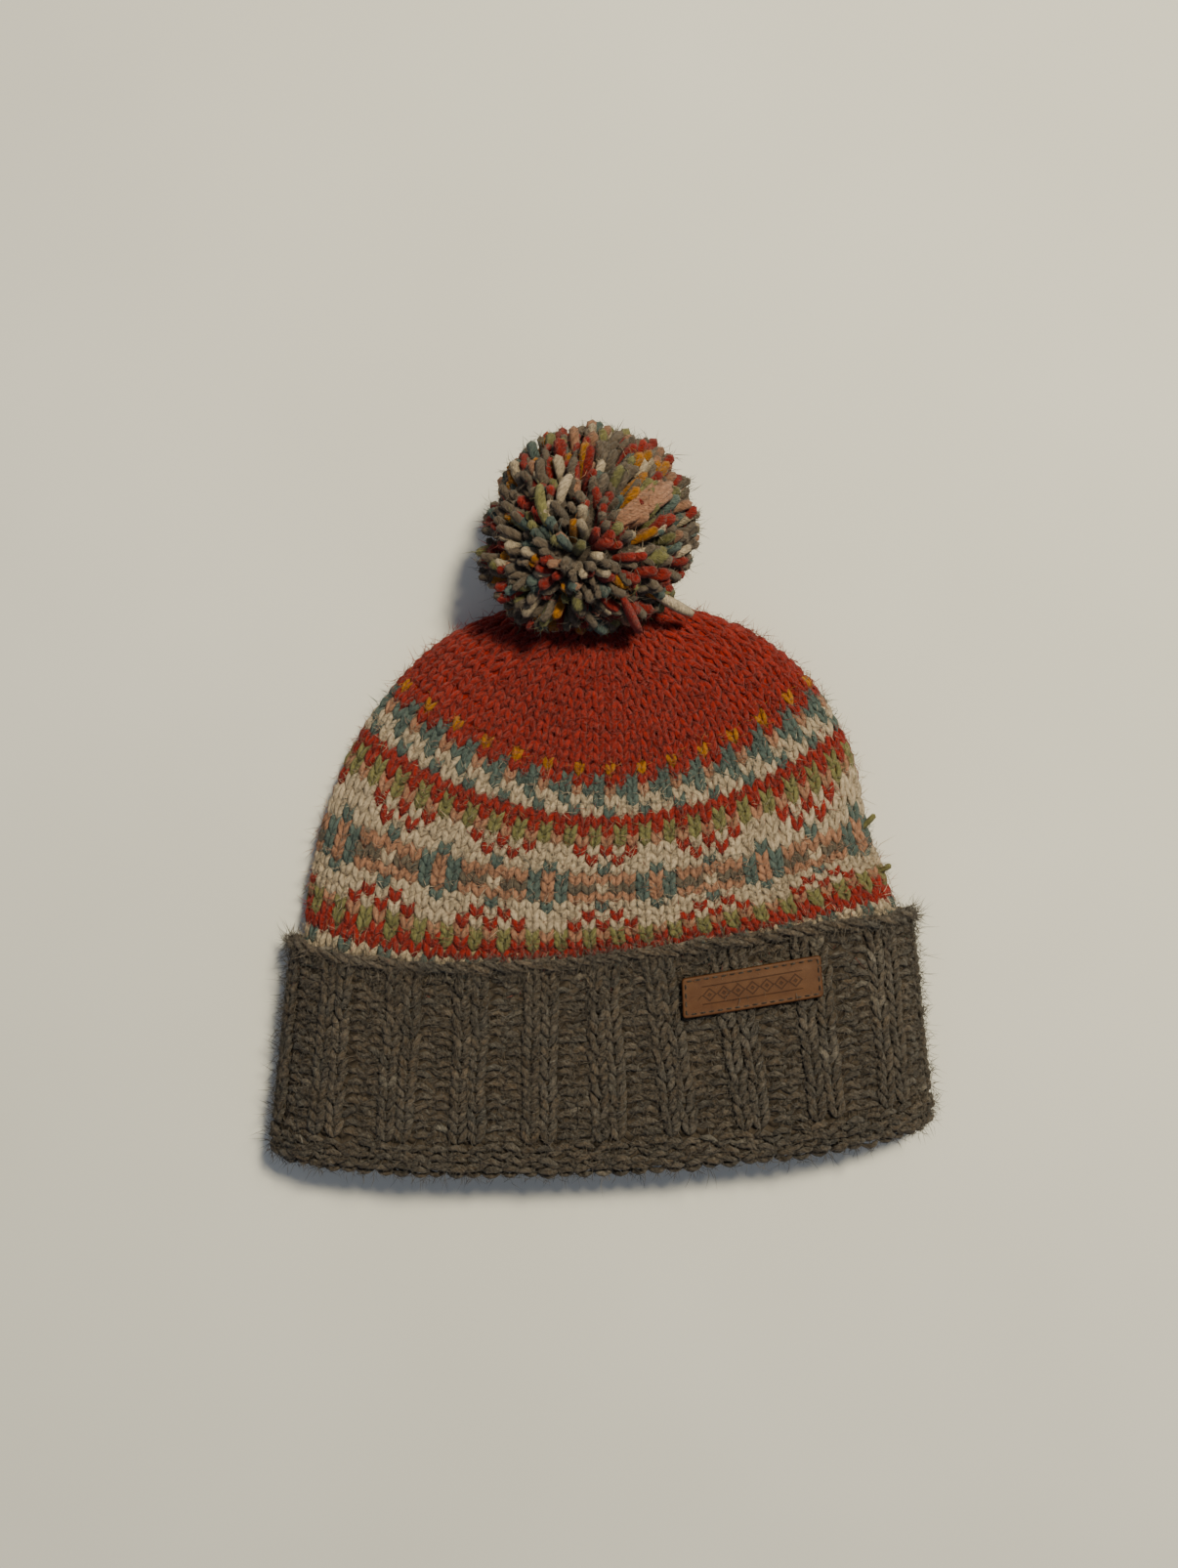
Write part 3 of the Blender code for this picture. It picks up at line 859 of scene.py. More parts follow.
@dataclass(frozen=True)
class BackingFinish:
    """The knitting behind the stitches and inside the hat, in its rows' own colours."""

    name: str

    def material(self) -> bpy.types.Material:
        """Rows of purl bumps on the rows' colours, with noise for the wool and painted shade in the
        valleys.

        Returns:
            The backing's material.
        """
        made, n, shader = new_material(self.name)
        place = n.add("ShaderNodeTexCoord")
        noise = n.add("ShaderNodeTexNoise", Scale=700.0, Detail=4.0, Roughness=0.6)
        n.join(place.outputs["Object"], noise.inputs["Vector"])
        rows = n.add("ShaderNodeGroup", node_tree=purl_group())
        knit_place = n.add("ShaderNodeAttribute", attribute_name="knit_place")
        n.join(knit_place.outputs["Vector"], rows.inputs["Place"])
        colour = n.add("ShaderNodeAttribute", attribute_name="yarn_colour")
        wool = n.maths("MULTIPLY", noise.outputs["Fac"], 0.5)
        height = n.maths("ADD", rows.outputs["Height"], wool)
        # Painted shade and highlight: the colour runs from 0.65 in the valleys between purl bumps to
        # 1.15 on their tops.
        shade = n.grey(n.span(height, 0.15, 1.35, 0.65, 1.15))
        toned = n.blend("MULTIPLY", 1.0, colour.outputs["Color"], shade)
        n.join(toned, shader.inputs["Base Color"])
        n.bump(shader, height, 1.0, 0.0012)
        set_inputs(shader, Roughness=0.95, Specular_IOR_Level=0.08)
        return made


@dataclass(frozen=True)
class TieFinish:
    """The plain yarn of the pompom's tie."""

    name: str
    colour: Colour
    light: Colour

    def material(self) -> bpy.types.Material:
        """Two tones of wool from noise.

        Returns:
            The tie's material.
        """
        made, n, shader = new_material(self.name)
        place = n.add("ShaderNodeTexCoord")
        noise = n.add("ShaderNodeTexNoise", Scale=600.0, Detail=4.0, Roughness=0.6)
        n.join(place.outputs["Object"], noise.inputs["Vector"])
        share = n.span(noise.outputs["Fac"], 0.35, 0.65)
        n.join(n.blend("MIX", share, self.colour, self.light), shader.inputs["Base Color"])
        n.bump(shader, noise.outputs["Fac"], 0.8, 0.0005)
        set_inputs(shader, Roughness=0.95, Specular_IOR_Level=0.08)
        return made


@dataclass
class RibbedCuff:
    """The folded 2x2 ribbing round the mouth."""

    fold_width: float = 0.2492
    edge_width: float = 0.2345
    depth: float = 0.0766
    height: float = 0.0360
    side_height: float = 0.0118
    side_radius: float = 0.0140
    fold_front_drop: float = 0.0088
    fold_back_drop: float = 0.0125
    edge_drop: float = 0.0112
    edge_lean: float = 0.75
    fold_tilt: float = math.radians(2.55)
    edge_tilt: float = math.radians(2.95)
    wall: float = 0.0040
    relief: float = 0.0012
    layer_gap: float = 0.0006
    turned_in: float = 0.0450
    stitches: int = 80
    row_height: float = 0.00375
    knit_radius: float = 0.00138
    purl_radius: float = 0.00132
    foot_radius: float = 0.00112
    rope_radius: float = 0.00128
    band_before_fold: float = 2.2
    band_past_fold: float = 3.3
    shift: Vector = field(default_factory=Vector)

    def __post_init__(self) -> None:
        """Finds where the part's own frame puts the cuff."""
        low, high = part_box("ribbed_cuff")
        fold = self.ring_at(np.arange(720) / 720, 0.0, 0.0)
        self.shift = Vector(
            ((low.x + high.x) / 2, low.y - (fold[:, 1].min() - self.fold_line()), 0.0)
        )

    def fold_radius(self) -> float:
        """Radius of the bend's outer face."""
        return self.wall + self.layer_gap / 2

    def fold_line(self) -> float:
        """Where the flat of the ribbing begins, from the bottom of the bend."""
        return self.fold_radius() + self.relief

    def join_up(self) -> float:
        """How far up the flat the turned-in ribbing ends."""
        return (self.turned_in - self.fold_line()) / (self.depth - self.fold_line())

    def ring_at(self, shares: Array, up: float | Array, inset: float) -> Array:
        """Points of the cuff's outer face, straight between its fold line and its edge.

        Args:
            shares: Places round the cuff.
            up: 0 at the fold line and 1 at the cast-off edge, one value or one a place.
            inset: Depth below the outer face.

        Returns:
            Points of shape (n, 3), in the hat's frame.
        """
        side = self.side_height / self.height
        fold = Row(
            self.fold_line() / self.depth, 1.0, 0.0, self.fold_front_drop / self.depth,
            self.fold_back_drop / self.depth, 0.0, self.fold_tilt, 0.0, side, 1 - side,
        )
        drop = self.edge_drop / self.depth
        edge = Row(
            1.0, 1.0, 0.0, drop, drop, self.edge_lean, self.edge_tilt, 0.0, side, 1 - side
        )
        at_fold = Sizes(self.fold_width, self.depth, self.height, self.side_radius)
        at_edge = Sizes(self.edge_width, self.depth, self.height, self.side_radius)
        up = np.asarray(up, float)[..., None]
        low, high = fold.ring(at_fold, shares, inset), edge.ring(at_edge, shares, inset)
        return low * (1 - up) + high * up + np.array(self.shift)

    def overlap(self, shares: Array) -> Array:
        """How far the soft edge reaches past the solid's, as a share of the flat: a cosine."""
        return 0.050 + 0.032 * np.cos(2 * math.pi * (shares + 0.08))

    def sheet(self, columns: int = 720) -> KnitSurface:
        """The whole visible skin: down the outside, round the bend and up inside.

        Levels are metres from the cast-off edge, measured on the front's middle.

        Args:
            columns: Points round the cuff.

        Returns:
            The skin.
        """
        shares = np.arange(columns) / columns
        radius = self.fold_radius()
        flat = self.depth - self.fold_line()
        rings, levels = [], []
        top = 1 + self.overlap(shares)
        for down in np.linspace(0, 1, 19):
            rings.append(self.ring_at(shares, top * (1 - down), self.relief))
            levels.append(down * flat)
        for angle in np.linspace(0, math.pi, 11)[1:-1]:
            ring = self.ring_at(shares, 0.0, self.relief + radius * (1 - math.cos(angle)))
            ring[:, 1] -= radius * math.sin(angle)
            rings.append(ring)
            levels.append(flat + radius * angle)
        for up in np.linspace(0, self.join_up(), 9):
            rings.append(self.ring_at(shares, up, self.relief + 2 * radius))
            levels.append(flat + math.pi * radius + up * flat)
        return KnitSurface(np.array(rings), np.array(levels), turned_out=-1.0)

    def skew(self, share: Array, level: Array) -> Array:
        """How far the ribs lean: a bell across the front, growing from the edge to the fold."""
        flat = self.depth - self.fold_line()
        return -0.020 * np.exp(-(((share - 0.082) / 0.07) ** 2)) * (1 - np.clip(level / flat, 0, 1))

    def build(self, rng: np.random.Generator) -> dict[str, Strands]:
        """The knit and purl stitches of the ribbing, and its cast-off edge.

        Args:
            rng: Source of unevenness.

        Returns:
            The stitches seen from above, those on the floor, those turned inside, the edge.
        """
        surface = self.sheet()
        total = surface.levels[-1]
        rows = int(total / self.row_height)
        row, column = np.meshgrid(np.arange(rows), np.arange(self.stitches), indexing="ij")
        row, column = row.ravel(), column.ravel()
        level = (row + 0.5) * total / rows
        knit = (column % 4) < 2
        flat = self.depth - self.fold_line()
        band_start = flat - self.band_before_fold * self.row_height
        band_end = flat + self.band_past_fold * self.row_height
        bottom = (level > band_start) & (level < band_end)
        knit &= ~bottom
        share = (column / self.stitches + rng.normal(0, 0.0006, len(column))) % 1
        signed = (share + 0.5) % 1 - 0.5
        share = share + self.skew(signed, level)
        pitch = total / rows
        colour = marl_colours(rng, len(row))
        legs = knit_legs(
            surface, level[knit], share[knit], 1 / self.stitches, -pitch, colour[knit], rng,
            radius=self.knit_radius, rise=0.0012,
        )
        bumps = purl_bumps(
            surface, level[~knit], share[~knit], 1 / self.stitches, -pitch, colour[~knit], rng,
            radius=self.purl_radius, rise=np.where(bottom[~knit], 0.0005, -0.0007),
        )
        seen = ~knit & (level < flat)
        # The feet are a tenth darker than the rest of the ribbing: painted shade where they sit low
        # between the ribs.
        feet = purl_bumps(
            surface, level[seen] + pitch * 0.5, share[seen] + 0.5 / self.stitches,
            1 / self.stitches, pitch, marl_colours(rng, int(seen.sum())) * 0.9, rng,
            radius=self.foot_radius, rise=np.where(bottom[seen], 0.0001, -0.0012),
        )
        everything = Strands.joined([legs, bumps, feet])
        where = np.concatenate((np.repeat(level[knit], 2), level[~knit], level[seen]))
        inner = where > flat + math.pi * self.fold_radius() * 0.75
        beneath = ~inner & (everything.up[:, 2, 2] < -0.2)
        return {
            "rib_stitches": pick(everything, ~inner & ~beneath),
            "underside_ribs": pick(everything, beneath).coarser(),
            "turned_in_stitches": pick(everything, inner).coarser(),
            "cast_off_edge": self.edge_rope(rng),
        }

    def edge_rope(self, rng: np.random.Generator) -> Strands:
        """The cast-off edge: long slanted strands chained round the cuff's upper edge.

        A strand runs round by 1.55 t stitches while its level goes from a start to an end, and
        it rises by a half sine. Two such chains cross each other.

        Args:
            rng: Source of unevenness.

        Returns:
            The strands.
        """
        surface = self.sheet()
        count = self.stitches
        k = np.arange(count) + rng.uniform(-0.15, 0.15, count)
        t = np.linspace(0, 1, 6)
        slants = ((-0.0012, 0.0020, 0.0014), (0.0016, -0.0016, -0.0004))
        chains = []
        for turn, (start, end, rise) in enumerate(slants):
            share = (k[:, None] + turn * 0.5 + 1.55 * t) / count
            level = start + (end - start) * t[None] + rng.normal(0, 0.0005, (count, 1))
            points, _, along, normal = surface.at(np.maximum(level, 0.0), share)
            unit = along / np.linalg.norm(along, axis=-1, keepdims=True)
            over = np.minimum(level, 0.0)[..., None] * unit
            lift = rise + 0.0007 * np.sin(math.pi * t)
            paths = points + over + normal * lift[None, :, None]
            radius = self.rope_radius * taper(t, 0.45)[None] * rng.uniform(0.85, 1.15, (count, 1))
            # The edge's marl is three tenths lighter than the ribbing's: painted highlight on the
            # raised edge.
            chains.append(Strands(paths, normal, radius, marl_colours(rng, count) * 1.3))
        return Strands.joined(chains)

    def dress(self, layers: dict[str, Strands], wool: bpy.types.Material) -> None:
        """Puts the ribbing and its edge into the scene.

        Args:
            layers: The strands by the names of their pieces.
            wool: Their finish.
        """
        for name, strands in layers.items():
            dress_strands(name, strands, wool, "marl_rib")


def taper(t: Array, end: float) -> Array:
    """Full in the middle and falling to a share of the radius at the ends: a half sine."""
    return end + (1 - end) * np.sin(math.pi * np.clip(t, 0, 1)) ** 0.7


def marl_colours(rng: np.random.Generator, count: int) -> Array:
    """Heather greys and browns, one for each strand, with a few pale ones.

    Args:
        rng: Source of unevenness.
        count: Number of strands.

    Returns:
        Their colours.
    """
    base = np.array(Yarn.SMOKE.value)
    tone = rng.lognormal(0.0, 0.14, (count, 1))
    tint = 1 + rng.normal(0, 1, (count, 1)) * np.array([0.04, 0.0, -0.05])
    pale = (rng.random((count, 1)) < 0.015) * np.array([0.06, 0.054, 0.045])
    return base * tone * tint + pale


def pick(strands: Strands, chosen: Array) -> Strands:
    """The chosen strands of a set.

    Args:
        strands: The set.
        chosen: Which of its strands.

    Returns:
        The chosen ones.
    """
    return Strands(
        strands.paths[chosen], strands.up[chosen], strands.radius[chosen],
        strands.colour[chosen], strands.sides, strands.flatness, strands.pointed,
    )


def knit_legs(surface: KnitSurface, level: Array, share: Array, width: float, pitch: float,
              colour: Array, rng: np.random.Generator, radius: float, rise: float) -> Strands:
    """Two legs for each stitch, from its tip outwards and up behind the next stitch.

    A leg's path is across = width (0.02 + 0.44 t^0.82) and along = pitch (1.52 t - 0.52). Its
    height is rise (1.25 sin(pi (0.10 + 0.84 t)) - 0.65), so that it dips at both ends.

    Args:
        surface: The knitting's surface.
        level: Levels of the stitches' middles.
        share: Shares of the stitches' middles.
        width: Stitch width as a share.
        pitch: Row pitch in levels, negative where levels run towards the mouth.
        colour: Colours of the stitches.
        rng: Source of unevenness.
        radius: Yarn radius.
        rise: Height of a leg's middle above the surface.

    Returns:
        The legs, the left and the right one of each stitch side by side.
    """
    count = len(level)
    t = np.linspace(0, 1, 5)
    jitter = rng.normal(0, 1, (count, 2, 4))
    hand = np.array([-1.0, 1.0])
    across = (0.02 + 0.44 * t**0.82) * (1 + 0.06 * jitter[..., 0:1])
    offset = hand[None, :, None] * across + 0.03 * jitter[..., 1:2]
    along = (-0.52 + 1.52 * t) + 0.05 * jitter[..., 2:3]
    at_share = share[:, None, None] + width * offset
    at_level = level[:, None, None] + pitch * along
    points, _, _, normal = surface.at(at_level, at_share)
    height = rise * (1.25 * np.sin(math.pi * np.clip(0.10 + 0.84 * t, 0, 1)) - 0.65)
    height = height + 0.10 * rise * jitter[..., 3:4]
    paths = points + normal * height[..., None]
    shape = taper(t * 0.94 + 0.04, 0.34)
    thick = radius * shape * rng.uniform(0.92, 1.08, (count, 2, 1))
    tone = rng.lognormal(0, 0.07, (count, 2, 1))
    return Strands(
        paths.reshape(-1, 5, 3), normal.reshape(-1, 5, 3), thick.reshape(-1, 5),
        (colour[:, None, :] * tone).reshape(-1, 3),
    )


def purl_bumps(surface: KnitSurface, level: Array, share: Array, width: float, pitch: float,
               colour: Array, rng: np.random.Generator, radius: float, rise: Array) -> Strands:
    """One bump for each purl stitch: a short strand across, bowed away from the row's line.

    Its path is across = width (t - 0.5) 0.98 and along = pitch 0.15 cos(2 pi (t - 0.5)), and
    its height is a half sine above the rise.

    Args:
        surface: The knitting's surface.
        level: Levels of the stitches' middles.
        share: Shares of the stitches' middles.
        width: Stitch width as a share.
        pitch: Row pitch in levels.
        colour: Colours of the stitches.
        rng: Source of unevenness.
        radius: Yarn radius.
        rise: Height of each bump's middle above the surface.

    Returns:
        The bumps.
    """
    count = len(level)
    t = np.linspace(0, 1, 5)
    jitter = rng.normal(0, 1, (count, 4))
    across = (t - 0.5)[None] * 0.98 + 0.07 * jitter[:, :1]
    along = 0.15 * np.cos(2 * math.pi * (t - 0.5))[None] + 0.30 * jitter[:, 1:2] * (t - 0.5)
    along = along + 0.10 * jitter[:, 3:4]
    at_share = share[:, None] + width * across
    at_level = level[:, None] + pitch * along
    points, _, _, normal = surface.at(at_level, at_share)
    height = rise[:, None] + 0.0011 * (np.sin(math.pi * t) - 0.5) + 0.00025 * jitter[:, 2:3]
    paths = points + normal * height[..., None]
    thick = radius * taper(t, 0.55)[None] * rng.uniform(0.88, 1.12, (count, 1))
    return Strands(paths, normal, thick, colour)


@dataclass(frozen=True)
class Dent:
    """A hollow pressed into the front: its middle and reach as shares of the half width."""

    across: float
    along: float
    reach: float
    depth: float


@dataclass
class KnitBody:
    """The colourwork body, gathered to a point at the crown."""

    cuff: RibbedCuff
    width: float = 0.2158
    length: float = 0.1261
    height: float = 0.0335
    side_radius: float = 0.0080
    tuck_depth: float = 0.0062
    gather_relief: float = 0.0011
    gather_count: int = 8
    hole_radius: float = 0.0052
    hole_tilt: float = math.radians(20)
    hole_up_dome: float = 0.2
    stitches: int = 88
    crown_stitch: float = 0.0048
    rows_above_chart: int = 16
    first_lower_row: int = 12
    row_places: tuple[float, ...] = (-16.5, -14.75, -11.0, -6.0, -0.3, 6.25, 11.7, 17.2, 21.3, 26.0)
    rows: tuple[Row, ...] = (
        Row(0.164, 1.000, -0.020, 0.155, 0.130, 0.2, 0.037, 0.020, 0.240, 0.735),
        Row(0.305, 0.954, -0.026, 0.152, 0.125, 0.0, 0.000, 0.004, 0.240, 0.756),
        Row(0.550, 0.870, -0.004, 0.247, 0.200, 0.0, 0.000, 0.000, 0.240, 0.760),
        Row(0.767, 0.709, 0.014, 0.270, 0.215, 0.0, 0.000, 0.005, 0.255, 0.705),
        Row(0.896, 0.524, 0.014, 0.226, 0.150, 0.0, 0.000, 0.060, 0.270, 0.620),
        Row(0.978, 0.250, 0.000, 0.155, 0.060, 0.0, 0.000, 0.220, 0.250, 0.420),
        Row(0.998, 0.111, -0.014, 0.063, -0.010, 0.0, 0.000, 0.360, 0.190, 0.240),
    )
    dents: tuple[Dent, ...] = (
        Dent(-0.30, 1.52, 0.17, 0.0030),
        Dent(0.26, 1.40, 0.20, 0.0016),
        Dent(-0.62, 1.05, 0.22, 0.0014),
    )

    def hole(self) -> Vector:
        """Middle of the gathered point.

        Returns:
            The point, in the hat's frame.
        """
        last = self.rows[-1]
        return Vector(
            (
                last.shift * last.width * self.width / 2,
                self.cuff.depth + self.length,
                (last.lift + last.side + self.hole_up_dome * last.dome) * self.height,
            )
        ) + self.cuff.shift

    def sheet(self, columns: int = 720, fine: int = 16) -> KnitSurface:
        """The body's outer face. Levels count the key rings, 0 just above the cuff.

        The rings between the keys come from a cubic. Near the crown they wave by a cosine of
        the turn, and each dent presses the front in by a bell of its depth.

        Args:
            columns: Points round the body.
            fine: Rings from one key ring to the next.

        Returns:
            The face, with two more rings that run down inside the cuff.
        """
        shares = np.arange(columns) / columns
        sizes = Sizes(self.width, self.length, self.height, self.side_radius)
        keys = [
            row.ring(sizes, shares, start=self.cuff.depth) + np.array(self.cuff.shift)
            for row in self.rows
        ]
        turn = 2 * math.pi * shares
        centre = self.hole()
        keys.append(
            np.stack(
                (
                    centre.x + self.hole_radius * np.sin(turn),
                    centre.y - self.hole_radius * np.cos(turn) * math.sin(self.hole_tilt),
                    centre.z + self.hole_radius * np.cos(turn) * math.cos(self.hole_tilt),
                ),
                axis=-1,
            )
        )
        places = np.linspace(0, len(keys) - 1, (len(keys) - 1) * fine + 1)
        rings = smooth_rows(np.array(keys), places)
        along = places / places[-1]
        gathered = np.clip((along - 0.55) / 0.30, 0, 1) * np.clip((1 - along) / 0.12, 0, 1)
        outward = rings - rings.mean(axis=1, keepdims=True)
        outward /= np.linalg.norm(outward, axis=-1, keepdims=True)
        wave = self.gather_relief * np.cos(self.gather_count * turn)
        rings += outward * wave[None, :, None] * gathered[:, None, None]
        half = self.width / 2
        front = np.clip((rings[..., 2] / self.height - 0.5) / 0.25, 0, 1)
        for dent in self.dents:
            x = (rings[..., 0] - self.cuff.shift.x) / half - dent.across
            y = (rings[..., 1] - self.cuff.shift.y) / half - dent.along
            rings[..., 2] -= front * dent.depth * np.exp(-(x**2 + y**2) / dent.reach**2)
        tucked = self.cuff.ring_at(shares, 1.0, self.tuck_depth)
        deeper = self.cuff.ring_at(shares, 0.82, self.tuck_depth)
        rings = np.concatenate((deeper[None], tucked[None], rings))
        return KnitSurface(rings, np.concatenate(([-2.0, -1.0], places)))

    def level_of(self, row: Array) -> Array:
        """Level of each chart row's middle, rows counted downwards from the mustard row."""
        return np.interp(row, self.row_places, np.arange(7.0, -3.0, -1.0))

    def row_at(self, level: Array) -> Array:
        """The chart row at each level."""
        return np.interp(level, np.arange(-2.0, 8.0), self.row_places[::-1])

    def count_at(self, row: int, girth: float) -> int:
        """Stitches in a row: all of them below the crown, then fewer with the girth.

        Args:
            row: The chart row.
            girth: Length once round it.

        Returns:
            The number of stitches, a multiple of eight in the crown.
        """
        if row >= 0:
            return self.stitches
        return int(np.clip(8 * round(girth / (8 * self.crown_stitch)), 16, self.stitches))

    def build(self, rng: np.random.Generator) -> dict[str, Strands]:
        """The stitches of the body.

        A yarn's radius is 0.00018 + 0.225 of its stitch's width, within 0.6 and 1.32 mm.

        Args:
            rng: Source of unevenness.

        Returns:
            The stitches of the crown, the upper bands, the lower bands and the underside.
        """
        surface = self.sheet()
        groups: dict[str, list[Strands]] = {"crown": [], "upper": [], "lower": []}
        for row in range(-self.rows_above_chart, len(CHART) + 1):
            start = self.level_of(np.array(row + 0.5))
            stop = self.level_of(np.array(row - 0.5))
            girth = float(surface.circumference(np.array((start + stop) / 2)))
            count = self.count_at(row, girth)
            column = np.arange(count)
            share = (column + 0.5) / count
            letters = self.letters(row, column - count // 2)
            colour = colours_of(letters)
            level = np.full(count, (start + stop) / 2)
            level += 0.10 * (stop - start) * smooth_noise(rng, count)
            radius = np.clip(0.00018 + 0.225 * girth / count, 0.0006, 0.00132)
            share = (share + 0.5) % 1
            legs = knit_legs(
                surface, level, share, 1 / count, stop - start, colour, rng,
                radius=radius, rise=0.0010,
            )
            key = "crown" if row < 0 else "upper" if row < self.first_lower_row else "lower"
            groups[key].append(legs)
        joined = {key: Strands.joined(found) for key, found in groups.items()}
        above = {key: strands.up[:, 2, 2] > -0.2 for key, strands in joined.items()}
        split = {key: pick(strands, above[key]) for key, strands in joined.items()}
        beneath = [pick(strands, ~above[key]) for key, strands in joined.items()]
        split["underside"] = Strands.joined(beneath).coarser()
        return split

    def loose_ends(self) -> Strands:
        """Two short sage yarn ends that stick out of the right side.

        Returns:
            The ends, each a straight run t along its reach.
        """
        surface = self.sheet()
        quarter = surface.points.shape[1] // 4
        side_y = surface.points[2:, quarter, 1] - self.cuff.shift.y
        t = np.linspace(0, 1, 5)[:, None]
        paths, ups = [], []
        for place, rise in ((0.1170, 0.0045), (0.0952, 0.0010)):
            level = np.interp(place, side_y, surface.levels[2:])
            start, _, _, normal = surface.at(np.array([level]), np.array([0.243]))
            reach = normal[0] * 0.0055 + np.array([0.0, rise, 0.001])
            paths.append(start[0] - normal[0] * 0.001 + reach * t)
            ups.append(np.broadcast_to(np.array([0.0, 0.0, 1.0]), (5, 3)))
        radius = np.tile(0.0011 * np.array([0.8, 1.0, 1.05, 1.1, 1.0]), (2, 1))
        return Strands(np.array(paths), np.array(ups), radius, np.tile(Yarn.SAGE.value, (2, 1)))

    def letters(self, row: int, column: Array) -> Array:
        """Chart letters of a row's stitches.

        Args:
            row: The chart row.
            column: Places of the stitches, counted from the front's middle.

        Returns:
            The letters, all coral above and below the chart.
        """
        if row < 0 or row >= len(CHART):
            return np.full(len(column), "R")
        text = CHART[row]
        repeat = np.array(list(text))
        start = 4 if len(text) == 8 else 0
        return repeat[(column + start) % len(text)]

    def dress(self, stitches: dict[str, Strands], wool: bpy.types.Material) -> None:
        """Puts the stitches and the two loose ends into the scene.

        Args:
            stitches: The body's stitches by where they are.
            wool: Their finish.
        """
        for key, strands in stitches.items():
            dress_strands(f"{key}_stitches", strands, wool, "colourwork_knit")
        dress_strands("loose_ends", self.loose_ends(), wool, "colourwork_knit")


def smooth_noise(rng: np.random.Generator, count: int) -> Array:
    """Slow unevenness round a row: the sum of three sines of random phase.

    Args:
        rng: Source of unevenness.
        count: Number of places round the row.

    Returns:
        A value for each place.
    """
    turn = 2 * math.pi * np.arange(count) / count
    total = np.zeros(count)
    for waves in (3, 7, 13):
        total += np.sin(waves * turn + rng.uniform(0, 6.28)) / math.sqrt(waves)
    return total


@dataclass(frozen=True)
class Lock:
    """One long lock of the pompom, from one place to another, in metres from the middle."""

    start: Point
    end: Point
    bulge: float
    radius: float
    yarn: Yarn
    plies: int = 1


@dataclass
class Pompom:
    """A ball of cut yarn ends tied at its middle.

    The ends run from a point beside the ball's middle to its surface, so that they part where
    that point faces the viewer.
    """

    centre: Vector
    radius: float = 0.0372
    ends: int = 1240
    lean: float = 0.0034
    parting: Point = (-0.0061, -0.0128, 0.0060)
    droop: Point = (-0.82, -0.57, 0.05)
    scatter: float = 0.12
    swell: float = 0.17
    swell_spread: float = 0.16
    shown_from: float = 0.56
    bend: float = 0.0040
    frizz: float = 0.0005
    grey_radius: float = 0.00155
    yarn_radius: float = 0.00180
    core_share: float = 0.79
    runs: int = 560
    stray_share: float = 0.60
    # All of the ball's yarn colours are darkened by this factor: painted shade within the dense ball.
    shade: float = 0.80
    locks: tuple[Lock, ...] = (
        Lock((0.0080, -0.0030, 0.0335), (0.0268, 0.0122, 0.0230), 0.0032, 0.0017, Yarn.PEACH, 5),
        Lock((-0.0119, 0.0031, 0.0330), (-0.0080, 0.0128, 0.0340), 0.0016, 0.0018, Yarn.CREAM),
        Lock((-0.0160, -0.0034, 0.0315), (-0.0184, 0.0100, 0.0310), 0.0016, 0.0019, Yarn.SAGE),
        Lock((0.0100, -0.0270, 0.0240), (0.0165, -0.0371, 0.0030), 0.0012, 0.0018, Yarn.CORAL),
        Lock((0.0190, -0.0230, 0.0130), (0.0357, -0.0300, -0.0040), 0.0012, 0.0020, Yarn.CREAM),
        Lock((-0.0330, -0.0075, 0.0040), (-0.0415, -0.0090, 0.0030), 0.0005, 0.0020, Yarn.SAGE),
        Lock((-0.0300, -0.0020, 0.0060), (-0.0395, -0.0010, 0.0040), 0.0005, 0.0019, Yarn.SMOKE),
    )

    def build(self, rng: np.random.Generator) -> Strands:
        """Yarn ends of the ball, kinked where they are grey, and the few long locks.

        The ends' directions follow a golden spiral over the ball, each a little off its place.
        An end runs straight from the parting, leans away from where the parting faces the
        viewer by lean t^2 within its reach, and bends sideways by bend t^2.

        Args:
            rng: Source of unevenness.

        Returns:
            The ends and the locks, in the hat's frame.
        """
        number = np.arange(self.ends) + 0.5
        polar = np.arccos(1 - 2 * number / self.ends)
        azimuth = math.pi * (1 + math.sqrt(5)) * number
        out = np.stack(
            (np.sin(polar) * np.cos(azimuth), np.sin(polar) * np.sin(azimuth), np.cos(polar)), axis=-1
        )
        out += rng.normal(0, self.scatter, out.shape)
        out /= np.linalg.norm(out, axis=-1, keepdims=True)
        toward = out @ (np.array(self.droop) / np.linalg.norm(self.droop))
        swell = 1 + self.swell * np.exp(-((1 - toward) / self.swell_spread) ** 2)
        reach = self.radius * rng.uniform(0.87, 1.02, self.ends) * swell
        tip = out * reach[:, None]
        start = np.array(self.parting)
        chosen, colour = self.colours(rng, out)
        t = np.linspace(0, 1, 5)[None, :, None]
        path = start + (tip - start)[:, None] * (self.shown_from + (1 - self.shown_from) * t)
        star = start + np.array([0.0, 0.0, math.sqrt(self.radius**2 - start @ start)])
        star /= np.linalg.norm(star)
        path = path + (out - (out @ star)[:, None] * star)[:, None] * self.lean * t**2
        far = np.linalg.norm(path, axis=-1, keepdims=True)
        path = path * np.minimum(1.0, reach[:, None, None] / far)
        bend = np.cross(out, rng.normal(0, 1, out.shape))
        bend /= np.linalg.norm(bend, axis=-1, keepdims=True)
        path = path + bend[:, None] * self.bend * t**2 * rng.uniform(0, 1, (self.ends, 1, 1))
        grey = (chosen == 0)[:, None, None]
        path = path + grey * rng.normal(0, self.frizz, path.shape)
        width = rng.uniform(0.85, 1.18, (self.ends, 1)) * np.array([0.85, 0.95, 1.05, 1.1, 0.98])
        radius = np.where(grey[..., 0], self.grey_radius, self.yarn_radius) * width
        up = np.broadcast_to(bend[:, None], path.shape)
        ball = Strands(path, up, radius, colour, flatness=1.0)
        whole = Strands.joined([ball, self._long_locks()])
        whole.paths = whole.paths + np.array(self.centre)
        above_floor = whole.radius + 0.0004
        whole.paths[..., 2] = np.maximum(whole.paths[..., 2], above_floor)
        return whole

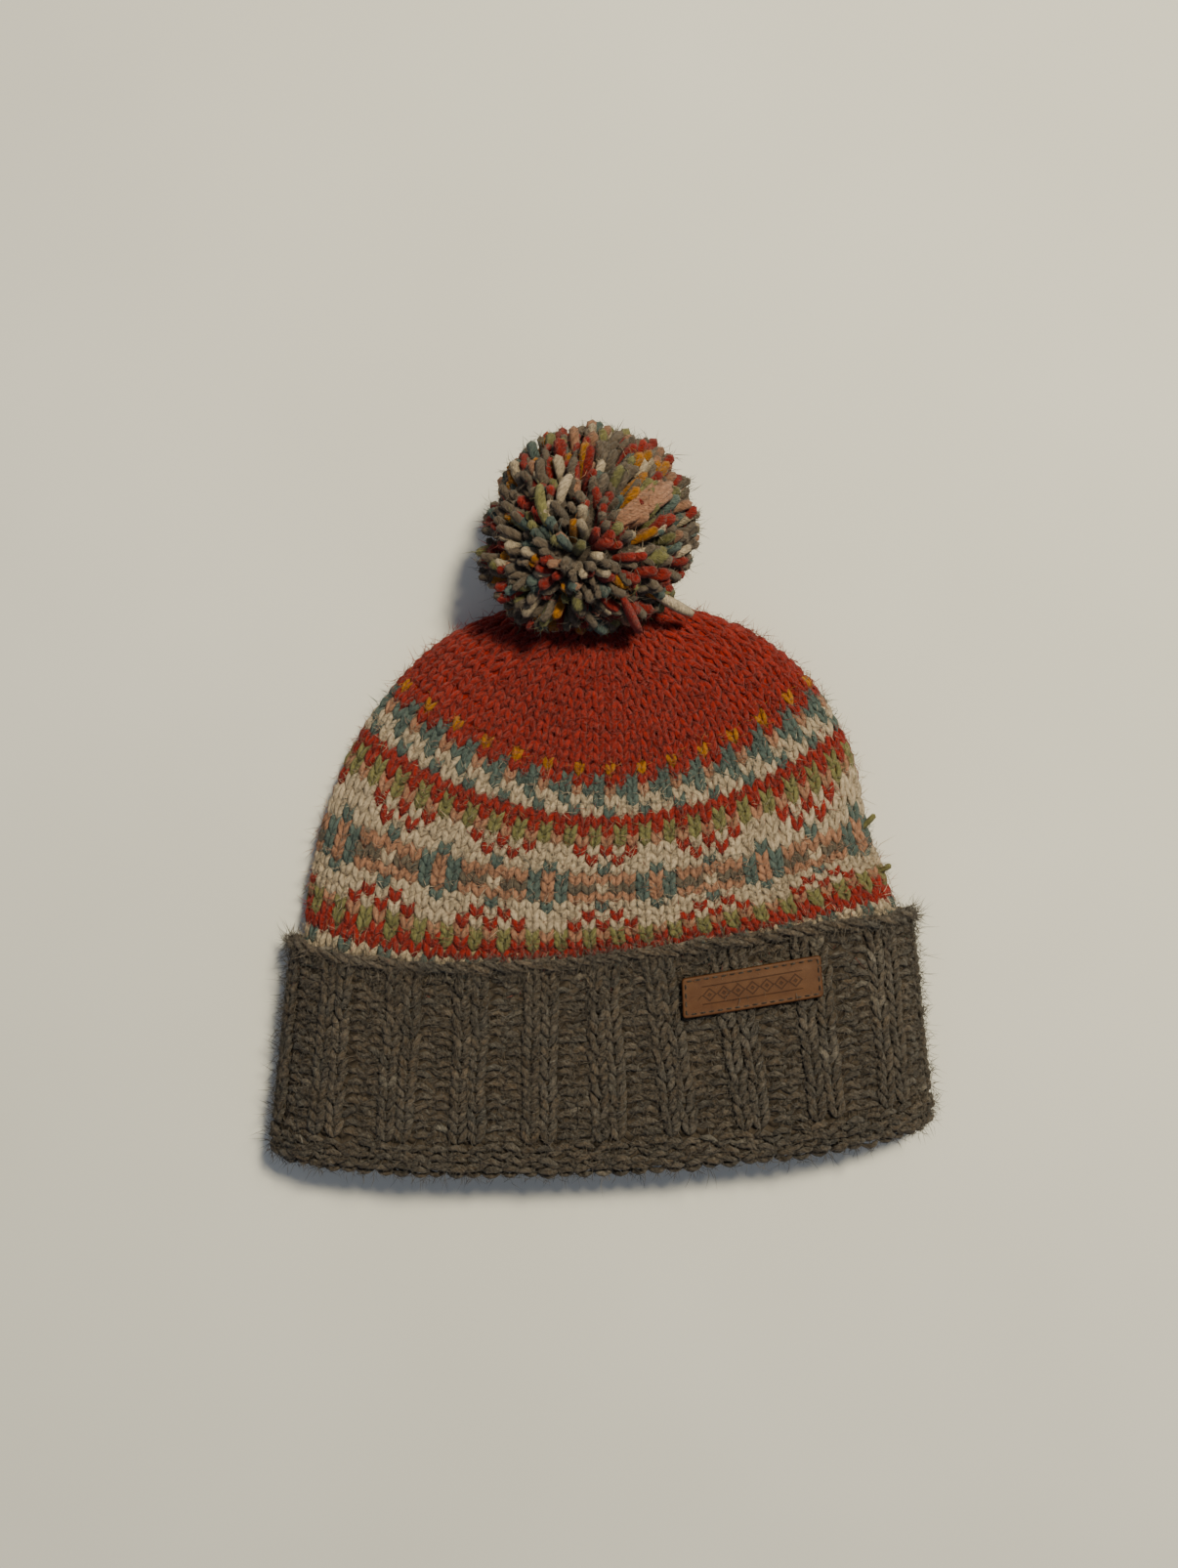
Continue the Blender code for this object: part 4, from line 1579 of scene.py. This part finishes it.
    def dress(self, ends: Strands, wool: bpy.types.Material) -> None:
        """Puts the yarn ends and the dense middle into the scene.

        Args:
            ends: The yarn ends.
            wool: Their finish.
        """
        dress_strands("pompom_ends", ends, wool, "pompom_wool", "pompom")
        dress_strands("pompom_core", self.core(), wool, "pompom_wool")

    def core(self) -> Strands:
        """The dense middle: one thick round strand whose radius is that of a ball.

        Returns:
            The strand, from pole to pole.
        """
        turn = np.linspace(0, math.pi, 11)
        size = self.radius * self.core_share
        path = np.zeros((1, 11, 3))
        path[0, :, 2] = -size * np.cos(turn)
        path += np.array(self.centre)
        up = np.broadcast_to(np.array([0.0, 1.0, 0.0]), path.shape)
        radius = np.maximum(size * np.sin(turn), 1e-5)[None]
        # Its colour is the cuff's grey darkened by a tenth: painted shade deep inside the ball.
        return Strands(path, up, radius, np.array([Yarn.SMOKE.value]) * 0.9, 24, 1.0, True)

    def _long_locks(self) -> Strands:
        """The long locks, bulged outwards between their ends by a half sine.

        Returns:
            The locks, with their plies fanned side by side, about the ball's middle.
        """
        t = np.linspace(0, 1, 5)[:, None]
        paths, ups, radii, colours = [], [], [], []
        for lock in self.locks:
            start, end = np.array(lock.start), np.array(lock.end)
            out = (start + end) / np.linalg.norm(start + end)
            side = np.cross(out, end - start)
            side /= np.linalg.norm(side)
            for ply in range(lock.plies):
                place = ply - (lock.plies - 1) / 2
                spread = side * place * lock.radius * 0.95 * (0.40 + 0.60 * t)
                bow = out * (lock.bulge - 0.0003 * place**2) * np.sin(math.pi * t)
                paths.append(start + (end - start) * (t * (1 - 0.05 * abs(place))) + spread + bow)
                ups.append(np.broadcast_to(out, (5, 3)))
                radii.append(lock.radius * np.array([0.60, 0.95, 1.10, 1.05, 0.75]))
                colours.append(np.array(lock.yarn.value) * (1 + 0.10 * math.sin(5.0 * place)))
        return Strands(np.array(paths), np.array(ups), np.array(radii), np.array(colours))

    def colours(self, rng: np.random.Generator, out: Array) -> tuple[Array, Array]:
        """Mixed yarns in small runs of one colour, mostly the cuff's grey-brown.

        Args:
            rng: Source of unevenness.
            out: Directions of the ends.

        Returns:
            Which yarn each end is, and its colour.
        """
        yarns = [Yarn.ASH, Yarn.CORAL, Yarn.TEAL, Yarn.CREAM, Yarn.SAGE, Yarn.PEACH, Yarn.MUSTARD]
        shares = np.array([0.40, 0.21, 0.09, 0.09, 0.07, 0.06, 0.08])
        table = np.array([yarn.value for yarn in yarns])
        runs = rng.normal(0, 1, (self.runs, 3))
        runs /= np.linalg.norm(runs, axis=-1, keepdims=True)
        run_yarn = rng.choice(len(yarns), len(runs), p=shares)
        chosen = run_yarn[np.argmax(out @ runs.T, axis=1)]
        stray = rng.random(self.ends) < self.stray_share
        chosen = np.where(stray, rng.choice(len(yarns), self.ends, p=shares), chosen)
        tone = rng.lognormal(0, 0.14, (self.ends, 1))
        # Painted shade: every end's colour is darkened by the ball's shade factor.
        return chosen, table[chosen] * tone * self.shade


@dataclass
class WoolHaze:
    """Thin fibres that stand off the yarn, as closed three-sided slivers, coloured with painted
    sheen.
    """

    radius: float = 0.00011
    length: float = 0.0036
    painted_sheen_gain: float = 1.45
    painted_sheen_lift: float = 0.036
    longest: float = 0.0075
    curl: float = 1.3

    def from_strands(self, rng: np.random.Generator, strands: Strands, count: int,
                     reach: float = 1.0, lift: float = 0.0009, first_ring: int = 1) -> Strands:
        """Fibres rooted on random strands, lying over their neighbours and curling outwards.

        A fibre's path is root + out l t + side l curl t^2. Its direction out is anywhere, drawn
        towards the surface. Fewer roots are on the lower half of the hat.

        Args:
            rng: Source of unevenness.
            strands: The strands that they grow from.
            count: Number of fibres.
            reach: Length as a share of the usual.
            lift: Height of the roots above the strands' middles.
            first_ring: First of a strand's rings that may hold a root.

        Returns:
            The fibres.
        """
        weight = np.where(strands.paths[:, 2, 2] > 0.010, 1.0, 0.45)
        which = rng.choice(len(strands), count, p=weight / weight.sum())
        ring = rng.integers(first_ring, strands.paths.shape[1], count)
        root = strands.paths[which, ring]
        normal = strands.up[which, ring]
        out = normal * rng.uniform(0.0, 0.5, (count, 1)) + rng.normal(0, 0.8, (count, 3))
        out -= 0.35 * (out * normal).sum(axis=-1, keepdims=True) * normal
        out /= np.linalg.norm(out, axis=-1, keepdims=True)
        side = np.cross(out, rng.normal(0, 1, (count, 3)))
        side /= np.linalg.norm(side, axis=-1, keepdims=True)
        length = self.length * reach * rng.lognormal(-0.1, 0.45, (count, 1, 1))
        length = np.minimum(length, self.longest)
        t = np.array([0.0, 0.5, 1.0])[None, :, None]
        curl = rng.uniform(-self.curl, self.curl, (count, 1, 1))
        path = root[:, None] + normal[:, None] * lift
        path = path + out[:, None] * length * t + side[:, None] * length * curl * t**2
        path[..., 2] = np.maximum(path[..., 2], 0.0002)
        thick = self.radius * np.ones(3) * rng.uniform(0.6, 1.4, (count, 1))
        up = np.broadcast_to(side[:, None], path.shape)
        # Painted sheen: each fibre is its yarn's colour brightened and paled, for the light caught in
        # the fuzz.
        colour = strands.colour[which] * self.painted_sheen_gain + self.painted_sheen_lift
        return Strands(path, up, thick, colour, sides=3, flatness=1.0, pointed=True)


@dataclass
class LeatherPatch:
    """The bare stitched leather tab on the cuff's front."""

    cuff: RibbedCuff
    width: float = 0.0509
    depth: float = 0.0146
    thickness: float = 0.0018
    from_middle: float = 0.0545
    below_edge: float = 0.0130
    turn: float = math.radians(0.6)
    seat: float = 0.0012
    corner: float = 0.0012
    flat_from: float = 0.0066
    thread_inset: float = 0.0013
    thread_pitch: float = 0.0031
    thread_radius: float = 0.00030
    thread_colour: Colour = (0.022, 0.012, 0.007)

    def place(self, across: Array, up_from_middle: Array, height: Array) -> Array:
        """Points on the cuff for places on the patch.

        A place goes round the cuff by its distance across and up the flat of the cuff by its
        distance up, both turned by the patch's small tilt, and out along the cuff's normal.

        Args:
            across: Distances to the right of the patch's middle.
            up_from_middle: Distances towards the cuff's edge from the middle.
            height: Heights above the patch's seat.

        Returns:
            The points.
        """
        turned_across = across * math.cos(self.turn) - up_from_middle * math.sin(self.turn)
        turned_up = across * math.sin(self.turn) + up_from_middle * math.cos(self.turn)
        flat = self.cuff.depth - self.cuff.fold_line()
        up = 1 - (self.below_edge - turned_up) / flat
        ring = self.cuff.ring_at(np.linspace(0, 1, 241), 1 - self.below_edge / flat, 0.0)
        length = np.linalg.norm(np.diff(ring, axis=0), axis=-1).sum()
        shares = (self.from_middle + turned_across) / length
        fold = self.cuff.ring_at(shares.ravel(), 0.0, 0.0).reshape(*shares.shape, 3)
        edge = self.cuff.ring_at(shares.ravel(), 1.0, 0.0).reshape(*shares.shape, 3)
        points = fold * (1 - up[..., None]) + edge * up[..., None]
        ahead = self.cuff.ring_at(shares.ravel() + 0.001, 0.5, 0.0).reshape(*shares.shape, 3)
        behind = self.cuff.ring_at(shares.ravel() - 0.001, 0.5, 0.0).reshape(*shares.shape, 3)
        normal = np.cross(ahead - behind, edge - fold)
        normal /= np.linalg.norm(normal, axis=-1, keepdims=True)
        return points + normal * (height + self.seat)[..., None]

    def build(self) -> bpy.types.Mesh:
        """The tab as a closed grid: a profile carried round its outline.

        The profile goes from the back's middle to its edge, up over the rounded front edge,
        through a shallow pressed line and over the flat of the front.

        Returns:
            The tab's mesh.
        """
        inset = np.array([0.0, 0.0, 0.00008, 0.0003, 0.0006, 0.0011, 0.0018, 0.0032, 0.0052])
        rise = np.array([0.0, 0.55, 0.80, 0.95, 1.0, 0.97, 0.93, 0.99, 1.0]) * self.thickness
        steps = 160
        loops, places = [], []
        for inward, height in zip(inset, rise):
            x, y = rounded_rectangle(
                self.width / 2 - inward, self.depth / 2 - inward,
                max(self.corner - inward, 0.0002), steps,
            )
            loops.append(self.place(x, y, np.full(steps, height)))
            places.append(np.stack((x, y, np.zeros(steps)), axis=-1))
        x, y = rounded_rectangle(self.width / 2 - self.flat_from, 0.00004, 0.00002, steps)
        flat = np.stack((x, y, np.zeros(steps)), axis=-1)
        back = self.place(x, y, np.full(steps, 0.0))
        front = self.place(x, y, np.full(steps, self.thickness))
        loops = [back, *loops, front]
        places = [flat, *places, flat]
        mesh = grid_mesh("leather_tab", np.array(loops), closed=True, capped=True)
        write_attribute(mesh, "tab_place", np.array(places))
        return mesh

    def thread(self, rng: np.random.Generator) -> Strands:
        """Short dark stitches in a line just inside the edge, each bowed up by a cosine.

        Args:
            rng: Source of unevenness.

        Returns:
            The stitches.
        """
        half_x, half_y = self.width / 2 - self.thread_inset, self.depth / 2 - self.thread_inset
        x, y = rounded_rectangle(half_x, half_y, self.corner / 2, 2000)
        run = np.append(0, np.cumsum(np.hypot(np.diff(x), np.diff(y))))
        total = run[-1] + math.hypot(x[0] - x[-1], y[0] - y[-1])
        count = int(total / self.thread_pitch)
        t = np.linspace(-0.5, 0.5, 5)
        at = ((np.arange(count)[:, None] + 0.58 * t) * total / count) % total
        px, py = np.interp(at, run, x), np.interp(at, run, y)
        height = self.thickness + 0.00012 * np.cos(math.pi * t) - 0.00006
        paths = self.place(px, py, np.broadcast_to(height, px.shape))
        above = self.place(px, py, np.broadcast_to(height, px.shape) + 0.001)
        normal = (above - paths) / 0.001
        radius = np.broadcast_to(self.thread_radius * np.array([0.6, 1, 1, 1, 0.6]), (count, 5))
        colour = np.tile(np.array(self.thread_colour), (count, 1))
        colour = colour * rng.uniform(0.8, 1.3, (count, 1))
        return Strands(paths, normal, radius, colour, sides=6)

    def dress(self, thread: Strands, leather: bpy.types.Material, wool: bpy.types.Material) -> None:
        """Puts the tab and its thread into the scene.

        Args:
            thread: The thread's stitches.
            leather: The tab's finish.
            wool: The thread's finish.
        """
        dressed("leather_tab", self.build(), leather, "patch_leather", "leather_patch")
        dress_strands("tab_thread", thread, wool, "patch_leather")


def rounded_rectangle(half_x: float, half_y: float, radius: float, steps: int) -> tuple[Array, Array]:
    """Points round a rectangle with rounded corners, at even steps of its length.

    Args:
        half_x: Half the width.
        half_y: Half the height.
        radius: Radius of the corners.
        steps: Number of points.

    Returns:
        The x and y of the points.
    """
    radius = min(radius, half_x, half_y)
    turn = np.linspace(0, 2 * math.pi, 257)[:-1]
    quarter = np.minimum((turn // (math.pi / 2)).astype(int), 3)
    signs_x, signs_y = np.array([1, -1, -1, 1])[quarter], np.array([1, 1, -1, -1])[quarter]
    x = signs_x * (half_x - radius) + radius * np.cos(turn)
    y = signs_y * (half_y - radius) + radius * np.sin(turn)
    x, y = np.append(x, x[0]), np.append(y, y[0])
    run = np.append(0, np.cumsum(np.hypot(np.diff(x), np.diff(y))))
    at = np.arange(steps) * run[-1] / steps
    return np.interp(at, run, x), np.interp(at, run, y)


def ornament_group() -> bpy.types.NodeTree:
    """A plain band of nested diamonds between two lines, as a mask.

    In a cell, q = |x| / half width + |y| / half height. The mask is 1 where q is near 0.9 or
    under 0.3, and where |y| is near the lines' height, within the band's length.

    Returns:
        The group.
    """
    group, start, end = new_group(
        "diamond_band",
        {
            "Place": ("NodeSocketVector", (0.0, 0.0, 0.0)),
            "Cell": ("NodeSocketFloat", 0.0052),
            "Half Height": ("NodeSocketFloat", 0.0024),
            "Half Length": ("NodeSocketFloat", 0.0182),
        },
        {"Mask": "NodeSocketFloat"},
    )
    n = Nodes(group)
    parts = n.add("ShaderNodeSeparateXYZ")
    n.join(start.outputs["Place"], parts.inputs[0])
    x, y = parts.outputs[0], n.maths("ABSOLUTE", parts.outputs[1])
    cell = n.maths("FRACT", n.maths("ADD", n.maths("DIVIDE", x, start.outputs["Cell"]), 0.5))
    across = n.maths("MULTIPLY", n.maths("ABSOLUTE", n.maths("SUBTRACT", cell, 0.5)), 2.0)
    down = n.maths("DIVIDE", y, start.outputs["Half Height"])
    q = n.maths("ADD", across, down)
    outline = n.span(n.maths("ABSOLUTE", n.maths("SUBTRACT", q, 0.90)), 0.10, 0.16, 1.0, 0.0)
    heart = n.span(q, 0.28, 0.36, 1.0, 0.0)
    lines = n.span(n.maths("ABSOLUTE", n.maths("SUBTRACT", down, 1.32)), 0.05, 0.10, 1.0, 0.0)
    marks = n.maths("MAXIMUM", n.maths("MAXIMUM", outline, heart), lines)
    inside = n.maths("LESS_THAN", n.maths("ABSOLUTE", x), start.outputs["Half Length"])
    n.join(n.maths("MULTIPLY", marks, inside), end.inputs["Mask"])
    return group


@dataclass(frozen=True)
class LeatherFinish:
    """Smooth tan leather with a plain pressed band, darker where it is pressed."""

    name: str = "tan_leather"
    tan: Colour = (0.094, 0.034, 0.009)
    dark: Colour = (0.067, 0.023, 0.007)

    def material(self) -> bpy.types.Material:
        """Fine grain from a cell pattern, a slow change of tone and the pressed band.

        Returns:
            The leather's material.
        """
        made, n, shader = new_material(self.name)
        place = n.add("ShaderNodeTexCoord")
        slow = n.add("ShaderNodeTexNoise", Scale=160.0, Detail=5.0, Roughness=0.65)
        grain = n.add("ShaderNodeTexVoronoi", Scale=1700.0, feature="DISTANCE_TO_EDGE")
        for node in (slow, grain):
            n.join(place.outputs["Object"], node.inputs["Vector"])
        band = n.add("ShaderNodeGroup", node_tree=ornament_group())
        tab = n.add("ShaderNodeAttribute", attribute_name="tab_place")
        n.join(tab.outputs["Vector"], band.inputs["Place"])
        share = n.span(slow.outputs["Fac"], 0.35, 0.70)
        tone = n.blend("MIX", share, self.tan, self.dark)
        crease = n.span(grain.outputs["Distance"], 0.0, 0.12, 0.80, 1.0)
        grained = n.blend("MULTIPLY", 1.0, tone, n.grey(crease))
        pressed = n.maths("MULTIPLY", band.outputs["Mask"], 0.72)
        marked = n.blend("MULTIPLY", pressed, grained, (0.30, 0.24, 0.20))
        n.join(marked, shader.inputs["Base Color"])
        pores = n.maths("MULTIPLY", grain.outputs["Distance"], 0.4)
        n.bump(shader, n.maths("SUBTRACT", pores, band.outputs["Mask"]), 0.7, 0.00025)
        rough = n.span(slow.outputs["Fac"], 0.3, 0.7, 0.50, 0.66)
        n.join(rough, shader.inputs["Roughness"])
        set_inputs(shader, Specular_IOR_Level=0.28)
        return made


@dataclass
class Backing:
    """The knitting behind the stitches: one closed wall for the body and one for the cuff."""

    body: KnitBody
    cuff: RibbedCuff
    columns: int = 176

    def body_wall(self) -> bpy.types.Mesh:
        """Outer face a little below the stitches, inner face one wall further in.

        Returns:
            The body's wall, in the colours of its chart rows.
        """
        surface = self.body.sheet(columns=self.columns, fine=5)
        row = self.body.row_at(surface.levels)
        count = self.body.stitches
        column = np.floor(np.arange(self.columns) * count / self.columns).astype(int)
        column = (column + count // 2) % count - count // 2
        colours = np.array(
            [colours_of(self.body.letters(round(value), column)) for value in row]
        )
        return self._wall("crown_lining", surface, (0.0001, 0.0036), row, count, colours)

    def cuff_wall(self) -> bpy.types.Mesh:
        """The folded wall, thinner than the ribbing so that it hides under the stitches.

        Returns:
            The cuff's wall.
        """
        surface = self.cuff.sheet(columns=self.columns)
        row = surface.levels / self.cuff.row_height
        # Painted shade: the cuff's grey is darkened by a fifth where the wall shows between the ribs.
        colours = np.tile(np.array(Yarn.SMOKE.value) * 0.8, (len(row), self.columns, 1))
        return self._wall("cuff_core", surface, (0.0007, 0.0034), row, self.cuff.stitches, colours)

    def _wall(self, name: str, surface: KnitSurface, depths: tuple[float, float], row: Array,
              stitches: int, colours: Array) -> bpy.types.Mesh:
        """A closed wall between two depths below a surface.

        Args:
            name: Name of the mesh.
            surface: The knitting's surface.
            depths: Depth of the wall's near and far faces.
            row: Knit row of each level.
            stitches: Stitches round the surface.
            colours: Colour of each point of the grid.

        Returns:
            The wall, with its place in the knitting and its colour at each point.
        """
        normal = surface.normal
        near, far = (surface.points - normal * depth for depth in depths)
        loop = np.concatenate((near, far[::-1]))
        down = np.concatenate((row, row[::-1]))
        colour = np.concatenate((colours, colours[::-1]))
        mesh = grid_mesh(name, loop, closed=True, flip=surface.turned_out < 0, looped=True)
        place = np.zeros(loop.shape)
        place[..., 0] = np.arange(self.columns) * stitches / self.columns
        place[..., 1] = down[:, None]
        write_attribute(mesh, "knit_place", place)
        shade = np.ones((*loop.shape[:2], 4))
        shade[..., :3] = colour
        write_attribute(mesh, "yarn_colour", shade)
        return mesh

    def dress(self, wool: bpy.types.Material) -> None:
        """Puts the walls behind the stitches in place of the plain solids.

        Args:
            wool: Their finish.
        """
        dressed("crown_lining", self.body_wall(), wool, "colourwork_knit", "crown_body")
        dressed("cuff_core", self.cuff_wall(), wool, "marl_rib", "ribbed_cuff")


@dataclass
class Studio:
    """Pale paper, soft light and the camera straight above."""

    eye: Vector
    focal: float = 37.0
    floor_reach: float = 60.0
    paper: tuple[Colour, Colour] = ((0.69, 0.655, 0.60), (0.75, 0.715, 0.66))
    sky: Colour = (0.81, 0.92, 1.08)
    sky_strength: float = 0.275
    backdrop: Colour = (0.235, 0.235, 0.225)
    window_place: Point = (0.50, 0.62, 1.52)
    window_size: float = 0.26
    window_power: float = 41.2
    window_colour: Colour = (1.0, 0.93, 0.67)

    def build(self) -> None:
        """Makes the floor, the lights and the camera."""
        self._floor()
        self._room()
        self._window()
        camera = bpy.data.cameras.new("camera")
        camera.lens = self.focal
        camera.sensor_width = 36.0
        made = bpy.data.objects.new("camera", camera)
        made.location = self.eye
        bpy.context.scene.collection.objects.link(made)
        bpy.context.scene.camera = made

    def _floor(self) -> None:
        """A wide sheet of pale paper just under the hat."""
        points = np.array([[[-1, -1, 0], [1, -1, 0]], [[-1, 1, 0], [1, 1, 0]]]) * self.floor_reach
        mesh = grid_mesh("paper", points, closed=False)
        made, n, shader = new_material("pale_paper")
        place = n.add("ShaderNodeTexCoord")
        noise = n.add("ShaderNodeTexNoise", Scale=5.0, Detail=3.0, Roughness=0.5)
        n.join(place.outputs["Object"], noise.inputs["Vector"])
        share = n.span(noise.outputs["Fac"], 0.3, 0.7)
        n.join(n.blend("MIX", share, *self.paper), shader.inputs["Base Color"])
        set_inputs(shader, Roughness=0.9)
        floor = bpy.data.objects.new("paper", mesh)
        bpy.context.scene.collection.objects.link(floor)
        mesh.materials.append(made)

    def _room(self) -> None:
        """A weak blue sky for the light, and a plain grey room for what the camera sees."""
        world = bpy.data.worlds.new("room")
        bpy.context.scene.world = world
        world.use_nodes = True
        n = Nodes(world.node_tree)
        sky = world.node_tree.nodes["Background"]
        set_inputs(sky, Color=(*self.sky, 1.0), Strength=self.sky_strength)
        backdrop = n.add("ShaderNodeBackground", Color=(*self.backdrop, 1.0), Strength=1.0)
        seen = n.add("ShaderNodeMixShader")
        n.join(n.add("ShaderNodeLightPath").outputs["Is Camera Ray"], seen.inputs[0])
        n.join(sky.outputs[0], seen.inputs[1])
        n.join(backdrop.outputs[0], seen.inputs[2])
        n.join(seen.outputs[0], world.node_tree.nodes["World Output"].inputs["Surface"])

    def _window(self) -> None:
        """A soft light from the upper right, turned to the hat's middle."""
        light = bpy.data.lights.new("window", "AREA")
        light.size = self.window_size
        light.energy = self.window_power
        light.color = self.window_colour
        made = bpy.data.objects.new("window", light)
        made.location = self.window_place
        made.rotation_euler = (-Vector(self.window_place)).to_track_quat("-Z", "Y").to_euler()
        bpy.context.scene.collection.objects.link(made)


@dataclass
class BobbleHat:
    """The whole hat: cuff, body, pompom, patch, backing and haze."""

    nodes: dict[str, bpy.types.Object]
    seed: int = 11
    rib_fibres: int = 23500
    rope_fibres: int = 4400
    knit_fibres: int = 28500
    grey_end_fibres: int = 11000
    any_end_fibres: int = 6000
    grey_limit: float = 0.16

    def build(self) -> RibbedCuff:
        """Builds and dresses every piece.

        Returns:
            The cuff, which holds the hat's place.
        """
        rng = np.random.default_rng(self.seed)
        soft, marl, ball = self._wools()
        cuff = RibbedCuff()
        body = KnitBody(cuff)
        stitches = body.build(rng)
        body.dress(stitches, soft)
        ribbing = cuff.build(rng)
        cuff.dress(ribbing, marl)
        Backing(body, cuff).dress(BackingFinish("knit_backing").material())
        low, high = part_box("pompom")
        pompom = Pompom((low + high) / 2)
        ends = pompom.build(rng)
        pompom.dress(ends, ball)
        patch = LeatherPatch(cuff)
        patch.dress(patch.thread(rng), LeatherFinish().material(), marl)
        self._dress_haze(rng, stitches, ribbing, ends, soft)
        tie = self.nodes["pompom_tie"].data.materials
        tie.clear()
        tie.append(TieFinish("tie_wool", (0.10, 0.07, 0.05), (0.24, 0.17, 0.12)).material())
        return cuff

    @staticmethod
    def _wools() -> tuple[bpy.types.Material, bpy.types.Material, bpy.types.Material]:
        """The yarn finishes.

        Returns:
            The finishes of the body, the cuff and the pompom.
        """
        return (
            WoolFinish(
                "colourwork_wool", fleck=0.14, fleck_light=(0.42, 0.34, 0.26), twist=0.5,
                contrast=0.42, haze=0.05, bump=0.0006,
            ).material(),
            WoolFinish(
                "heather_wool", fleck=0.90, fleck_light=(0.205, 0.188, 0.168), twist=1.4,
                contrast=0.70, haze=0.28, bump=0.0006,
            ).material(),
            WoolFinish(
                "pompom_wool", fleck=0.30, fleck_light=(0.30, 0.25, 0.20), twist=0.8,
                contrast=0.50, haze=0.10, bump=0.0009,
            ).material(),
        )

    def _dress_haze(self, rng: np.random.Generator, stitches: dict[str, Strands],
                    ribbing: dict[str, Strands], ends: Strands, wool: bpy.types.Material) -> None:
        """Puts the haze of the cuff, the body and the pompom into the scene.

        Args:
            rng: Source of unevenness.
            stitches: The body's stitches by where they are.
            ribbing: The cuff's strands by the names of their pieces.
            ends: The pompom's yarn ends.
            wool: The fibres' finish.
        """
        haze = WoolHaze()
        cuff_haze = Strands.joined(
            [
                haze.from_strands(rng, ribbing["rib_stitches"], self.rib_fibres),
                haze.from_strands(rng, ribbing["cast_off_edge"], self.rope_fibres, 1.2),
            ]
        )
        dress_strands("cuff_haze", cuff_haze, wool, "marl_rib")
        top = Strands.joined([stitches[key] for key in ("crown", "upper", "lower")])
        knit_haze = haze.from_strands(rng, top, self.knit_fibres, 0.9)
        dress_strands("knit_haze", knit_haze, wool, "colourwork_knit")
        grey_ends = pick(ends, ends.colour.max(axis=1) < self.grey_limit)
        end_haze = Strands.joined(
            [
                haze.from_strands(rng, grey_ends, self.grey_end_fibres, 0.75, 0.0, 3),
                haze.from_strands(rng, ends, self.any_end_fibres, 0.75, 0.0, 3),
            ]
        )
        dress_strands("pompom_haze", end_haze, wool, "pompom_wool")


def main() -> None:
    """Builds the hat and the studio."""
    logging.basicConfig(level=logging.INFO)
    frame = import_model()
    cuff = BobbleHat(frame["nodes"]).build()
    above = Vector((0.0, EYE_ALONG + cuff.depth, EYE_HEIGHT))
    Studio(above + Vector((EYE_SIDE, cuff.shift.y, 0.0))).build()


if __name__ == "__main__":
    main()
